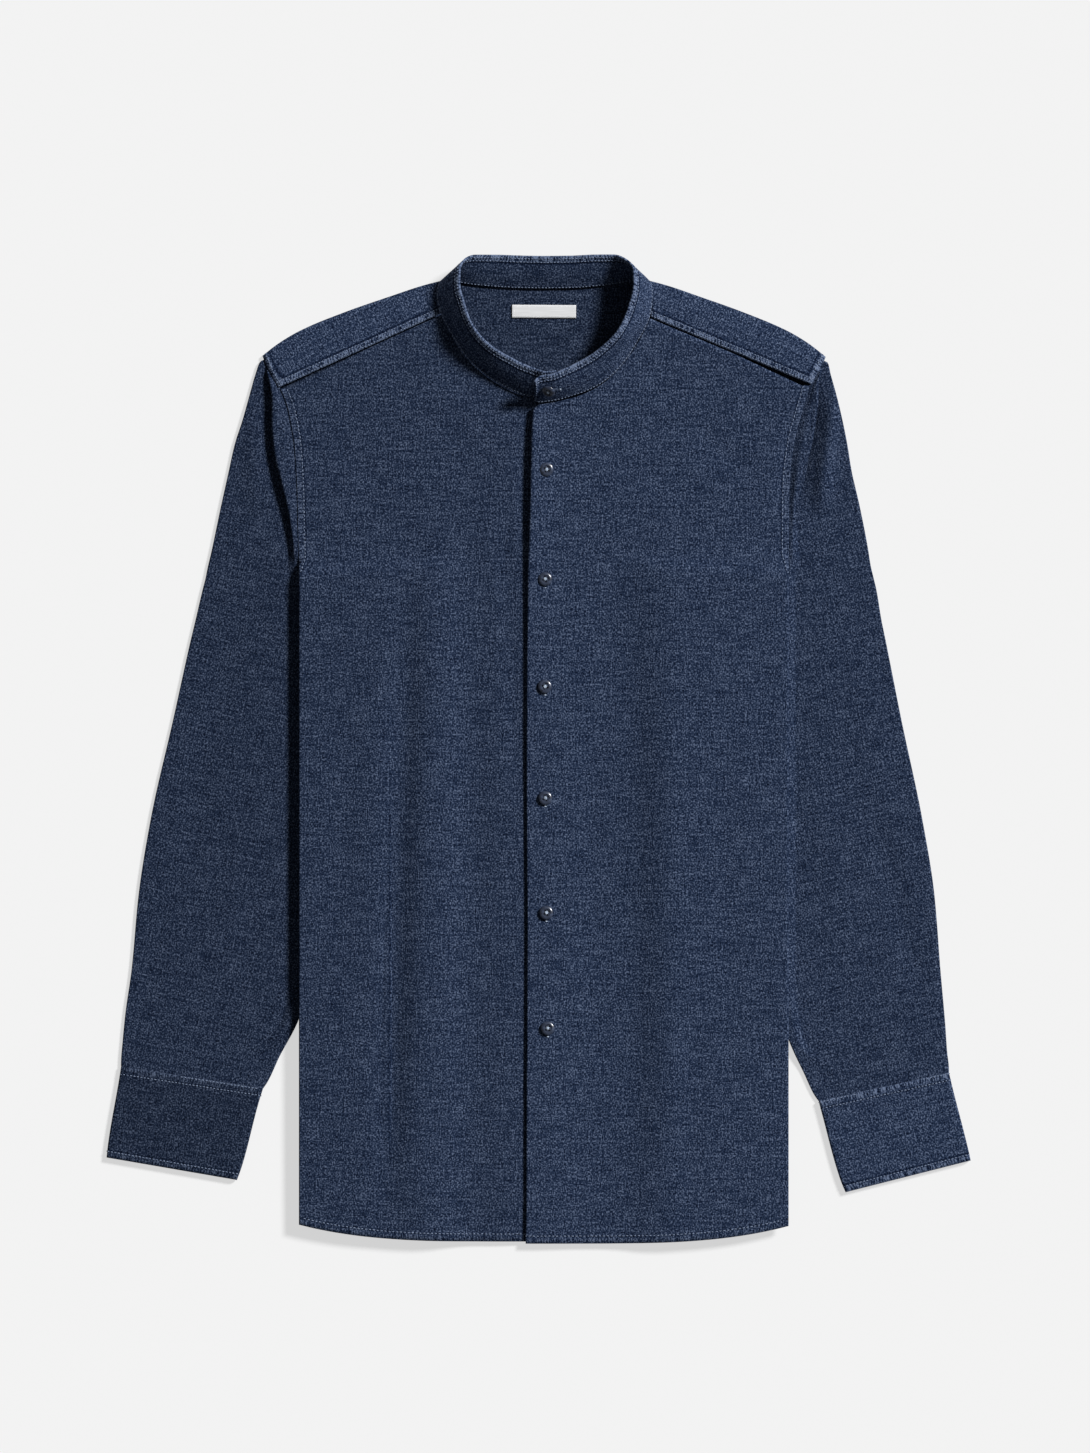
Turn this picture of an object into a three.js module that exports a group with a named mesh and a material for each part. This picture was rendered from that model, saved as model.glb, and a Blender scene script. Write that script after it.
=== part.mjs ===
// A long-sleeved shirt with a stand band collar, laid flat on its back with its sides tucked in.
// Millimetres. +Z points up out of the front, +Y to the collar, +X to the wearer's left.
// Every panel is a sheet: rows of corner points, rounded at each corner and thickened to a cloth wall.
import * as THREE from 'three';
import { mergeVertices } from 'three/addons/utils/BufferGeometryUtils.js';

// Cloth and folds
const CLOTH = 1.0; // wall of one ply
const SEAM = 0.3; // gap that neighbouring pieces keep
const FOLD = 2.0; // rise from one side of a fold to the other, middle to middle
const FLOOR_PLY = CLOTH / 2; // middle of the ply that lies on the surface

// Body, as it lies
const SIDE_RIGHT = -190.3; // folded side edges
const SIDE_LEFT = 200.3;
const POCKET_RIGHT = -116.4; // how far in the tucked sides reach
const POCKET_LEFT = 94;
const STACK_TOP = 9.1; // front ply over the tucked side and the sleeve
const SEAM_MIDDLE = 4.8; // height of the side seams, at the bottom of each tuck
const SLEEVE_UPPER = 5.8; // the sleeve's plies inside the tuck
const SLEEVE_LOWER = 3.8;
const HEM_CENTRE = -393.4; // lowest point of the curved hem
const HEM_SIDE_RISE = 14.5; // how much higher the hem is at the sides
const HEM_CURVE = 3.7; // flat in the middle, rising late toward the sides
const LEFT_HEM_DROP = 1.6; // the upper front is this much longer than the under one
const HEM_CENTRE_X = 4;
const HEM_HALF_WIDTH = 197;
const BACK_HEM_UP = 3.5; // the back hem hides above the front hem

// Collar, cuffs, buttons and label
const BAND_HEIGHT = 28;
const BAND_WALL = 1.6;
const BAND_BOW = 1.2; // how far the band bows outward between seam and top
const BAND_OVER_PANEL = 1.6; // band's seam line above the panel that it is sewn to
const CUFF_WALL = 1.4;
const CUFF_LOWER = 0.7;
const CUFF_MIDDLE = 2.4;
const CUFF_UPPER = 4.1;
const BUTTON_RADIUS = 5.6;
const BUTTON_THICK = 2.4;
const BUTTON_RIM = 1.1;
const BUTTON_DISH = 0.7;
const LABEL = { width: 51, height: 10.4, thick: 0.5, x: 5.2, y: 350.4, tilt: -0.006 };

// Colours
const NAVY = { color: 0x313c50, roughness: 0.9, metalness: 0 };
const NAVY_DARK = { color: 0x2b3548, roughness: 0.9, metalness: 0 };
const BUTTON_NAVY = { color: 0x1a2233, roughness: 0.35, metalness: 0 };
const LABEL_WHITE = { color: 0xecedee, roughness: 0.8, metalness: 0 };

const shirt = new THREE.Group();

function add(name, geometry, finish) {
  const mesh = new THREE.Mesh(geometry, new THREE.MeshStandardMaterial(finish));
  mesh.name = name;
  shirt.add(mesh);
  return mesh;
}

// Turns rows of numbers into objects with named columns.
function table(columns, rows) {
  const names = columns.split(' ');
  return rows.map((row) => Object.fromEntries(names.map((name, i) => [name, row[i]])));
}

const point = (x, y, z) => new THREE.Vector3(x, y, z);

// A polyline through the corners. bends[i] is the number of steps round corner i + 1, 0 for a plain vertex,
// and cuts[i] is the number of steps along the straight that leaves corner i.
function bendLine(corners, bends, cuts) {
  const line = [corners[0]];
  for (let i = 1; i < corners.length; i += 1) {
    const here = corners[i];
    const before = corners[i - 1];
    const last = i === corners.length - 1;
    const steps = last ? 0 : bends[i - 1];
    const reach = 0.46;
    const legIn = steps ? here.distanceTo(before) * reach : 0;
    const legOut = steps ? here.distanceTo(corners[i + 1]) * reach : 0;
    const leg = Math.min(legIn, legOut);
    const entry = here.clone().lerp(before, steps ? leg / here.distanceTo(before) : 0);
    const from = line[line.length - 1];
    const pieces = cuts[i - 1] ?? 1;
    for (let k = 1; k < pieces; k += 1) line.push(from.clone().lerp(entry, k / pieces));
    line.push(entry);
    if (!steps) continue;
    const exit = here.clone().lerp(corners[i + 1], leg / here.distanceTo(corners[i + 1]));
    const arc = new THREE.QuadraticBezierCurve3(entry, here, exit);
    for (let k = 1; k <= steps; k += 1) line.push(arc.getPoint(k / steps));
  }
  return line;
}

// A closed wall of the given thickness round a grid of middle points.
function wall(grid, thickness) {
  const rows = grid.length;
  const columns = grid[0].length;
  const positions = [];
  const sides = [[], []];
  grid.forEach((row, r) => row.forEach((p, c) => {
    const along = row[Math.min(c + 1, columns - 1)].clone().sub(row[Math.max(c - 1, 0)]);
    const down = grid[Math.min(r + 1, rows - 1)][c].clone().sub(grid[Math.max(r - 1, 0)][c]);
    const normal = along.cross(down).normalize().multiplyScalar(thickness / 2);
    sides[0].push(p.clone().add(normal));
    sides[1].push(p.clone().sub(normal));
  }));
  sides.flat().forEach((p) => positions.push(p.x, p.y, p.z));
  const under = rows * columns;
  const at = (r, c) => r * columns + c;
  const index = [];
  const quad = (a, b, c, d) => index.push(a, b, c, a, c, d);
  for (let r = 0; r < rows - 1; r += 1) {
    for (let c = 0; c < columns - 1; c += 1) {
      const ring = [at(r, c), at(r, c + 1), at(r + 1, c + 1), at(r + 1, c)];
      quad(...ring);
      quad(...ring.map((i) => i + under).reverse());
    }
  }
  const rim = [];
  for (let c = 0; c < columns - 1; c += 1) rim.push(at(0, c));
  for (let r = 0; r < rows - 1; r += 1) rim.push(at(r, columns - 1));
  for (let c = columns - 1; c > 0; c -= 1) rim.push(at(rows - 1, c));
  for (let r = rows - 1; r > 0; r -= 1) rim.push(at(r, 0));
  rim.forEach((a, i) => {
    const b = rim[(i + 1) % rim.length];
    quad(b, a, a + under, b + under);
  });
  const geometry = new THREE.BufferGeometry();
  geometry.setAttribute('position', new THREE.Float32BufferAttribute(positions, 3));
  geometry.setIndex(index);
  if (signedVolume(geometry) < 0) {
    geometry.setIndex(index.map((_, i) => index[i - (i % 3) + 2 - (i % 3)]));
  }
  geometry.computeVertexNormals();
  return geometry;
}

function signedVolume(geometry) {
  const position = geometry.attributes.position;
  const index = geometry.index.array;
  const corner = (i) => new THREE.Vector3().fromBufferAttribute(position, index[i]);
  let total = 0;
  for (let i = 0; i < index.length; i += 3) total += corner(i).dot(corner(i + 1).cross(corner(i + 2)));
  return total / 6;
}

function sheet(rows, bends, cuts, thickness = CLOTH) {
  return wall(rows.map((row) => bendLine(row, bends, cuts)), thickness);
}

// The curved hem: height of the cloth's lower edge at x.
function hemAt(x) {
  const off = Math.min(Math.abs(x - HEM_CENTRE_X) / HEM_HALF_WIDTH, 1);
  return HEM_CENTRE + HEM_SIDE_RISE * off ** HEM_CURVE;
}

// Corner points where a body panel's side edge turns under. turn 0 is flat, 1 hangs down, 2 lies folded in as
// far as tuck, and 3 ends at the side seam, halfway between the plies. up is 1 on the back, -1 on the front.
function sideTurn(row, hand, up) {
  const { sideX: x, sideY: y, sideZ: z, tuck, turn } = row;
  if (turn === 0) return [4, 2.6, 1.3, 0].map((d) => point(x - hand * d, y, z));
  if (turn === 1) {
    const drops = up > 0 ? [0, 1.4, 1.95, 2.5] : [0, 1.6, 2.3, 3];
    return drops.map((d) => point(x, y, z + up * d));
  }
  const inside = z + up * FOLD;
  const reach = turn === 2 ? tuck - 1.5 : tuck;
  const endZ = turn === 2 ? inside : SEAM_MIDDLE - up * SEAM * 0.6;
  const end = point(x - hand * tuck, y, endZ);
  return [point(x, y, z), point(x, y, inside), point(x - hand * reach, y, inside), end];
}

// Front panels: neckline or front edge on one side, armhole or tucked side on the other.
const FRONT_COLUMNS = 'edgeX edgeY edgeZ facing sideX sideY sideZ highZ tuck turn';
const TUCK_RIGHT = POCKET_RIGHT - SIDE_RIGHT;
const TUCK_LEFT = SIDE_LEFT - POCKET_LEFT;
const frontRightRows = table(FRONT_COLUMNS, [
  [-76.8, 347.6, 5.2, 3, -205.6, 288.6, 6.5, 5.6, 0, 0],
  [-68.8, 332.6, 5.0, 3, -200.4, 275.6, 6.5, 5.6, 0, 0],
  [-56.9, 314.0, 4.6, 3, -197.2, 261.2, 6.5, 5.6, 0, 0],
  [-36.4, 295.0, 4.2, 3, -194.4, 243.6, 6.5, 5.6, 0, 0],
  [-14.0, 283.4, 3.8, 5, -193.0, 223.6, 6.5, 5.6, 0, 0],
  [6.0, 279.0, 3.8, 12, -192.0, 202.8, 6.5, 5.6, 0, 0],
  [20.4, 275.0, 3.8, 28, -191.6, 180.4, 6.8, 5.8, 0, 0],
  [20.4, 223.6, 3.8, 28, -191.0, 158.0, 7.4, 6.4, 0, 0],
  [20.4, 170.0, 3.8, 28, SIDE_RIGHT, 146.0, 9.6, 7.2, 0, 1],
  [20.4, 150.0, 3.8, 28, SIDE_RIGHT, 137.0, STACK_TOP, 7.6, 8, 2],
  [20.4, 134.0, 3.8, 28, SIDE_RIGHT, 127.6, STACK_TOP, 8.2, 28, 2],
  [20.4, 103.6, 3.8, 28, SIDE_RIGHT, 103.6, STACK_TOP, 8.8, TUCK_RIGHT, 2],
  [20.4, 88.0, 3.8, 28, SIDE_RIGHT, 88.0, STACK_TOP, STACK_TOP, TUCK_RIGHT, 3],
  [20.4, -20.0, 3.8, 28, SIDE_RIGHT, -20.0, STACK_TOP, STACK_TOP, TUCK_RIGHT, 3],
  [20.4, -150.0, 3.8, 28, SIDE_RIGHT, -150.0, STACK_TOP, STACK_TOP, TUCK_RIGHT, 3],
  [20.4, -280.0, 3.8, 28, SIDE_RIGHT, -280.0, 8.8, 8.7, TUCK_RIGHT, 3],
  [20.4, -350.0, 3.8, 28, SIDE_RIGHT, -350.0, 8.6, 8.5, TUCK_RIGHT, 3],
  [20.4, HEM_CENTRE, 3.8, 28, SIDE_RIGHT, HEM_CENTRE, 8.4, 8.3, TUCK_RIGHT, 3],
]);
const frontLeftRows = table(FRONT_COLUMNS, [
  [90.0, 344.6, 6.4, 3, 217.6, 291.0, 6.5, 6.2, 0, 0],
  [80.4, 326.0, 6.6, 3, 215.0, 281.6, 6.5, 6.2, 0, 0],
  [67.6, 307.4, 6.8, 3, 210.8, 267.6, 6.5, 6.2, 0, 0],
  [48.4, 289.8, 7.1, 3, 206.8, 253.2, 6.5, 6.2, 0, 0],
  [26.0, 280.4, 7.1, 5, 203.6, 235.6, 6.5, 6.2, 0, 0],
  [6.0, 277.0, 7.1, 12, 201.6, 215.6, 6.5, 6.2, 0, 0],
  [-4.8, 272.0, 7.1, 28, 201.0, 193.2, 6.8, 6.4, 0, 0],
  [-7.0, 223.6, 7.1, 28, 200.8, 163.6, 7.4, 6.8, 0, 0],
  [-8.0, 170.0, 7.1, 28, SIDE_LEFT, 148.0, 9.6, 7.4, 0, 1],
  [-8.6, 150.0, 7.1, 28, SIDE_LEFT, 137.0, STACK_TOP, 7.8, 8, 2],
  [-8.6, 134.0, 7.1, 28, SIDE_LEFT, 127.6, STACK_TOP, 8.2, 38, 2],
  [-8.6, 103.6, 7.1, 28, SIDE_LEFT, 103.6, STACK_TOP, 8.8, TUCK_LEFT, 2],
  [-8.6, 88.0, 7.1, 28, SIDE_LEFT, 88.0, STACK_TOP, STACK_TOP, TUCK_LEFT, 3],
  [-8.6, -20.0, 7.1, 28, SIDE_LEFT, -20.0, STACK_TOP, STACK_TOP, TUCK_LEFT, 3],
  [-8.0, -150.0, 7.1, 28, SIDE_LEFT, -150.0, STACK_TOP, STACK_TOP, TUCK_LEFT, 3],
  [-8.6, -280.0, 7.1, 28, SIDE_LEFT, -280.0, 8.8, 8.7, TUCK_LEFT, 3],
  [-8.8, -350.0, 7.1, 28, SIDE_LEFT, -350.0, 8.6, 8.5, TUCK_LEFT, 3],
  [-9.2, HEM_CENTRE, 7.1, 28, SIDE_LEFT, HEM_CENTRE, 8.4, 8.3, TUCK_LEFT, 3],
]);

// middle gives the free ply between the front edge and the stack: where it starts and ends along the row, and
// its height. hemDrop is how much longer the panel is than the other front.
function frontPanel(rows, hand, middle) {
  const corners = rows.map((row, r) => {
    const edge = point(row.edgeX, row.edgeY, row.edgeZ);
    const side = point(row.sideX, row.sideY, row.sideZ);
    const along = (share, z) => edge.clone().lerp(side, share).setZ(z);
    const turned = along(row.facing / edge.distanceTo(side), row.edgeZ - FOLD);
    const lower = edge.clone().setZ(row.edgeZ - FOLD);
    const line = [
      turned,
      lower,
      edge,
      along(middle.flat, row.edgeZ),
      along(middle.start, middle.height),
      along(middle.end, middle.height),
      along(middle.stack, row.highZ),
      ...sideTurn(row, hand, -1),
    ];
    return r === rows.length - 1 ? line.map((p) => p.setY(hemAt(p.x) - middle.hemDrop)) : line;
  });
  return sheet(corners, [2, 2, 0, 0, 1, 1, 2, 2, 2], [1, 1, 1, 1, 3, 1, 4, 1, 2]);
}

const middleRight = { flat: 0.14, start: 0.22, end: 0.57, stack: 0.64, height: 4.9, hemDrop: 0 };
add('front_right', frontPanel(frontRightRows, -1, middleRight), NAVY);
const middleLeft = { flat: 0.09, start: 0.2, end: 0.42, stack: 0.49, height: 6.1, hemDrop: LEFT_HEM_DROP };
add('front_left', frontPanel(frontLeftRows, 1, middleLeft), NAVY);

// Back panel: one sheet from side seam to side seam, its top edge along the yoke.
const backRows = table('y rightX leftX sideZ tuckRight tuckLeft turn', [
  [273.6, -201.4, 212.4, FLOOR_PLY, 0, 0, 0],
  [243.6, -194.4, 204.8, FLOOR_PLY, 0, 0, 0],
  [202.8, -192.0, 201.6, FLOOR_PLY, 0, 0, 0],
  [158.0, -191.0, 200.8, FLOOR_PLY, 0, 0, 0],
  [146.0, SIDE_RIGHT, SIDE_LEFT, FLOOR_PLY, 0, 0, 1],
  [137.0, SIDE_RIGHT, SIDE_LEFT, FLOOR_PLY, 8, 8, 2],
  [127.6, SIDE_RIGHT, SIDE_LEFT, FLOOR_PLY, 28, 38, 2],
  [103.6, SIDE_RIGHT, SIDE_LEFT, FLOOR_PLY, TUCK_RIGHT, TUCK_LEFT, 2],
  [88.0, SIDE_RIGHT, SIDE_LEFT, FLOOR_PLY, TUCK_RIGHT, TUCK_LEFT, 3],
  [-150.0, SIDE_RIGHT, SIDE_LEFT, FLOOR_PLY, TUCK_RIGHT, TUCK_LEFT, 3],
  [-300.0, SIDE_RIGHT, SIDE_LEFT, FLOOR_PLY, TUCK_RIGHT, TUCK_LEFT, 3],
  [HEM_CENTRE, SIDE_RIGHT, SIDE_LEFT, FLOOR_PLY, TUCK_RIGHT, TUCK_LEFT, 3],
]);

function backPanel() {
  const corners = backRows.map((row, r) => {
    const shared = { sideY: row.y, sideZ: row.sideZ, turn: row.turn };
    const right = sideTurn({ ...shared, sideX: row.rightX, tuck: row.tuckRight }, -1, 1);
    const left = sideTurn({ ...shared, sideX: row.leftX, tuck: row.tuckLeft }, 1, 1);
    const line = [...right.reverse(), point(HEM_CENTRE_X, row.y, FLOOR_PLY), ...left];
    return r === backRows.length - 1 ? line.map((p) => p.setY(hemAt(p.x) + BACK_HEM_UP)) : line;
  });
  return sheet(corners, [2, 2, 2, 0, 2, 2, 2], [1, 2, 1, 4, 4, 1, 2, 1]);
}

add('back', backPanel(), NAVY);

// Yoke: a fan of lines from the neck to the armholes and the back seam, from one forward seam over the back of
// the neck to the other. Both shoulder lines are folds.
const yokeLines = table('neckX neckY neckZ outX outY outZ bow', [
  [-77.0, 348.8, 5.2, -206.2, 289.6, 6.5, 0],
  [-77.4, 362.0, 4.4, -212.8, 300.0, 5.2, 0.6],
  [-74.0, 375.4, 2.5, -218.7, 313.1, 2.5, 1],
  [-74.0, 375.4, FLOOR_PLY, -218.7, 313.1, FLOOR_PLY, 1],
  [-66.0, 375.0, FLOOR_PLY, -212.4, 295.6, FLOOR_PLY, 0.6],
  [-50.0, 372.6, FLOOR_PLY, -201.6, 274.4, FLOOR_PLY, 0],
  [-26.0, 370.6, FLOOR_PLY, -106.0, 274.4, FLOOR_PLY, 0],
  [5.2, 369.8, FLOOR_PLY, 5.2, 274.4, FLOOR_PLY, 0],
  [36.4, 370.6, FLOOR_PLY, 116.4, 274.4, FLOOR_PLY, 0],
  [60.0, 372.8, FLOOR_PLY, 212.6, 274.4, FLOOR_PLY, 0],
  [77.0, 375.2, FLOOR_PLY, 223.0, 295.6, FLOOR_PLY, 0.6],
  [86.0, 375.6, FLOOR_PLY, 229.2, 312.3, FLOOR_PLY, 1],
  [86.0, 375.6, 2.5, 229.2, 312.3, 2.5, 1],
  [90.0, 362.0, 5.0, 223.6, 302.0, 5.2, 0.6],
  [90.4, 345.8, 6.4, 218.0, 292.2, 6.5, 0],
]);
const YOKE_SHARES = [0, 0.12, 0.3, 0.55, 0.8, 0.92, 1];
const YOKE_BOW = [0, 3, 5.6, 8.6, 9.2, 6.4, 2]; // rise of the shoulder fold at each share of its length

function yoke() {
  const rows = YOKE_SHARES.map((share, r) => yokeLines.map((line) => {
    const neck = point(line.neckX, line.neckY, line.neckZ);
    const straight = neck.lerp(point(line.outX, line.outY, line.outZ), share);
    return straight.setY(straight.y + YOKE_BOW[r] * line.bow);
  }));
  return sheet(rows, [0, 2, 2, 0, 0, 0, 0, 0, 0, 0, 2, 2, 0], []);
}

add('yoke', yoke(), NAVY);

// Sleeve cap: from the front armhole seam over the pressed pleat to the outer fold and back to the rear seam.
// strip is how far the pleat's edge stands off the seam, tuck how far the cloth runs back under it.
const CAP_COLUMNS = 'seamX seamY seamZ strip tuck outX outY backX backY backZ';
const capRight = table(CAP_COLUMNS, [
  [-214.6, 300.2, 5.0, 2.4, -2.5, -220.9, 310.6, -214.2, 296.6, FLOOR_PLY],
  [-208.2, 289.2, 6.4, 7.0, 3, -225.2, 300.4, -208.0, 284.0, FLOOR_PLY],
  [-203.0, 277.2, 6.5, 9.5, 6, -230.0, 283.6, -202.4, 270.0, FLOOR_PLY],
  [-199.0, 260.4, 6.5, 13.5, 10, -235.6, 263.6, -198.6, 256.0, FLOOR_PLY],
  [-195.4, 238.0, 6.5, 15.5, 12, -242.0, 243.6, -194.8, 236.0, FLOOR_PLY],
  [-193.8, 215.6, 6.5, 12.0, 9, -246.8, 222.0, -193.4, 215.0, FLOOR_PLY],
  [-192.8, 188.0, 6.6, 6.0, 3, -253.0, 194.0, -192.8, 188.0, FLOOR_PLY],
  [-191.8, 158.0, 7.4, 2.6, -4, -261.0, 156.0, -191.8, 158.0, FLOOR_PLY],
]);
const capLeft = table(CAP_COLUMNS, [
  [225.0, 299.8, 5.0, 2.4, -2.5, 231.6, 309.6, 224.8, 296.6, FLOOR_PLY],
  [219.4, 289.8, 6.4, 6.0, 3, 234.2, 300.0, 219.0, 284.6, FLOOR_PLY],
  [215.6, 277.2, 6.5, 9.0, 6, 238.8, 283.6, 213.4, 270.0, FLOOR_PLY],
  [210.2, 260.4, 6.5, 12.0, 9, 243.6, 263.6, 209.2, 256.0, FLOOR_PLY],
  [205.6, 240.4, 6.5, 13.0, 10, 247.6, 243.6, 204.9, 238.0, FLOOR_PLY],
  [203.0, 219.6, 6.5, 9.0, 6, 250.8, 223.6, 203.4, 218.0, FLOOR_PLY],
  [202.0, 195.0, 6.7, 4.0, 2, 257.2, 195.6, 202.4, 195.0, FLOOR_PLY],
  [201.6, 163.6, 7.4, 2.6, -4, 264.0, 161.0, 201.7, 158.0, FLOOR_PLY],
]);
const SLEEVE_LOW = 2.6; // upper ply of the sleeve where it lies on the surface

// The arm below the cap: inner edge, outer fold, heights of both plies at the inner edge, and where the cloth
// climbs onto the tucked body. turned is 1 once the ends meet in the sleeve seam.
const ARM_COLUMNS = 'inX inY inUpper inLower outX outY step turned';
const armRight = table(ARM_COLUMNS, [
  [-191.1, 146.0, 5.4, 3.9, -263.4, 146.0, -193.6, 0],
  [-182.2, 137.0, 5.75, 3.8, -265.2, 137.0, SIDE_RIGHT, 0],
  [-162.0, 127.6, SLEEVE_UPPER, SLEEVE_LOWER, -267.6, 127.6, SIDE_RIGHT, 0],
  [-120.0, 104.6, SLEEVE_UPPER, SLEEVE_LOWER, -273.2, 103.6, SIDE_RIGHT, 0],
  [-120.4, 86.0, SLEEVE_UPPER, SLEEVE_LOWER, -277.4, 86.0, SIDE_RIGHT, 1],
  [-131.0, 23.6, SLEEVE_UPPER, SLEEVE_LOWER, -291.2, 23.6, SIDE_RIGHT, 1],
  [-148.0, -56.4, SLEEVE_UPPER, SLEEVE_LOWER, -309.2, -56.4, SIDE_RIGHT, 1],
  [-163.6, -116.4, SLEEVE_UPPER, SLEEVE_LOWER, -318.8, -116.4, SIDE_RIGHT, 1],
  [-180.0, -176.4, SLEEVE_UPPER, SLEEVE_LOWER, -324.4, -176.4, SIDE_RIGHT, 1],
  [-190.8, -214.8, SLEEVE_UPPER, SLEEVE_LOWER, -329.2, -210.0, -198, 1],
  [-206.4, -245.0, SLEEVE_LOW, FLOOR_PLY, -331.4, -232.0, -222, 1],
  [-219.2, -270.3, SLEEVE_LOW, FLOOR_PLY, -332.9, -252.9, -236, 1],
]);
const armLeft = table(ARM_COLUMNS, [
  [201.1, 148.0, 5.4, 3.9, 266.2, 147.0, 203.6, 0],
  [192.2, 137.0, 5.75, 3.8, 268.6, 137.0, SIDE_LEFT, 0],
  [162.0, 127.6, SLEEVE_UPPER, SLEEVE_LOWER, 270.8, 127.6, SIDE_LEFT, 0],
  [97.6, 104.6, SLEEVE_UPPER, SLEEVE_LOWER, 274.8, 103.6, SIDE_LEFT, 0],
  [98.4, 86.0, SLEEVE_UPPER, SLEEVE_LOWER, 278.4, 86.0, SIDE_LEFT, 1],
  [122.0, 23.6, SLEEVE_UPPER, SLEEVE_LOWER, 290.8, 23.6, SIDE_LEFT, 1],
  [147.6, -56.4, SLEEVE_UPPER, SLEEVE_LOWER, 307.6, -56.4, SIDE_LEFT, 1],
  [166.8, -116.4, SLEEVE_UPPER, SLEEVE_LOWER, 317.2, -116.4, SIDE_LEFT, 1],
  [184.4, -176.4, SLEEVE_UPPER, SLEEVE_LOWER, 322.0, -176.4, SIDE_LEFT, 1],
  [201.2, -232.4, SLEEVE_UPPER, SLEEVE_LOWER, 326.0, -222.0, 207, 1],
  [213.0, -258.0, SLEEVE_LOW, FLOOR_PLY, 327.2, -240.0, 228, 1],
  [224.8, -280.7, SLEEVE_LOW, FLOOR_PLY, 328.9, -257.7, 240, 1],
]);

function capRow(row) {
  const seam = point(row.seamX, row.seamY, row.seamZ);
  const out = point(row.outX, row.outY, SLEEVE_LOW);
  const rear = point(row.backX, row.backY, row.backZ);
  const length = seam.distanceTo(out);
  const along = (distance, z) => seam.clone().lerp(out, distance / length).setZ(z);
  const { strip, tuck } = row;
  const drop = row.seamZ - SLEEVE_LOW;
  const pleat = tuck > 0
    ? [[strip, drop / 2], [strip - tuck, drop / 2], [strip - tuck, drop]]
    : [[strip - tuck / 3, drop / 3], [strip - (2 * tuck) / 3, (2 * drop) / 3], [strip - tuck, drop]];
  return [
    seam,
    along(strip * 0.3, row.seamZ),
    along(strip * 0.6, row.seamZ),
    along(strip, row.seamZ),
    ...pleat.map(([distance, fall]) => along(distance, row.seamZ - fall)),
    out,
    out.clone().setZ(FLOOR_PLY),
    rear.clone().lerp(out, 0.12).setZ(FLOOR_PLY),
    rear.clone().lerp(out, 0.06).setZ(FLOOR_PLY),
    rear,
  ];
}

function armRow(row, hand) {
  const inner = point(row.inX, row.inY, row.inUpper);
  const out = point(row.outX, row.outY, SLEEVE_LOW);
  const at = (x, z) => inner.clone().lerp(out, (x - row.inX) / (row.outX - row.inX)).setZ(z);
  const climb = 13; // run of the slope up onto the body
  const fall = row.inUpper - SLEEVE_LOW;
  const start = row.turned
    ? [at(row.inX + hand * 4, row.inLower), at(row.inX, row.inLower), inner]
    : [inner, at(row.inX + hand * 1.2, row.inUpper), at(row.inX + hand * 2.4, row.inUpper)];
  const rear = row.turned ? row.inX + hand * 4.5 : row.inX;
  return [
    ...start,
    ...[0, 1, 2, 3].map((k) => at(row.step + (hand * climb * k) / 3, row.inUpper - (fall * k) / 3)),
    out,
    out.clone().setZ(FLOOR_PLY),
    at(row.step + hand * (climb + 1), FLOOR_PLY),
    at(row.step + hand * 3, row.inLower),
    at(rear, row.inLower),
  ];
}

function sleeve(capRows, armRows, hand) {
  const rows = [...capRows.map(capRow), ...armRows.map((row) => armRow(row, hand))];
  return sheet(rows, [2, 2, 2, 2, 2, 2, 2, 2, 0, 0], [1, 1, 1, 1, 1, 1, 2, 1, 2, 1, 2]);
}

add('sleeve_right', sleeve(capRight, armRight, -1), NAVY_DARK);
add('sleeve_left', sleeve(capLeft, armLeft, 1), NAVY);

// Cuffs: a doubled band folded flat, its ends overlapping underneath.
const CUFF_COLUMNS = 'inX inY outX outY';
const cuffRight = table(CUFF_COLUMNS, [
  [-219.4, -270.8, -333.0, -253.4],
  [-222.6, -281.0, -334.6, -263.6],
  [-237.0, -335.0, -343.6, -317.0],
  [-240.4, -344.2, -344.6, -326.2],
]);
const cuffLeft = table(CUFF_COLUMNS, [
  [224.9, -281.2, 329.0, -258.2],
  [227.6, -291.4, 331.4, -268.4],
  [242.6, -345.0, 344.4, -319.6],
  [246.4, -354.0, 346.4, -328.6],
]);

function cuff(table4) {
  const rows = table4.map((row) => {
    const inner = point(row.inX, row.inY, 0);
    const outer = point(row.outX, row.outY, 0);
    const at = (share, z) => inner.clone().lerp(outer, share).setZ(z);
    return [
      at(0.45, CUFF_LOWER),
      at(0.006, CUFF_LOWER),
      at(0.006, CUFF_UPPER),
      at(0.994, CUFF_UPPER),
      at(0.994, CUFF_LOWER),
      at(0.56, CUFF_LOWER),
      at(0.48, CUFF_MIDDLE),
      at(0.2, CUFF_MIDDLE),
    ];
  });
  return sheet(rows, [2, 2, 2, 2, 1, 1], [1, 1, 3, 1, 1, 1, 1], CUFF_WALL);
}

add('cuff_right', cuff(cuffRight), NAVY_DARK);
add('cuff_left', cuff(cuffLeft), NAVY);

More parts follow.
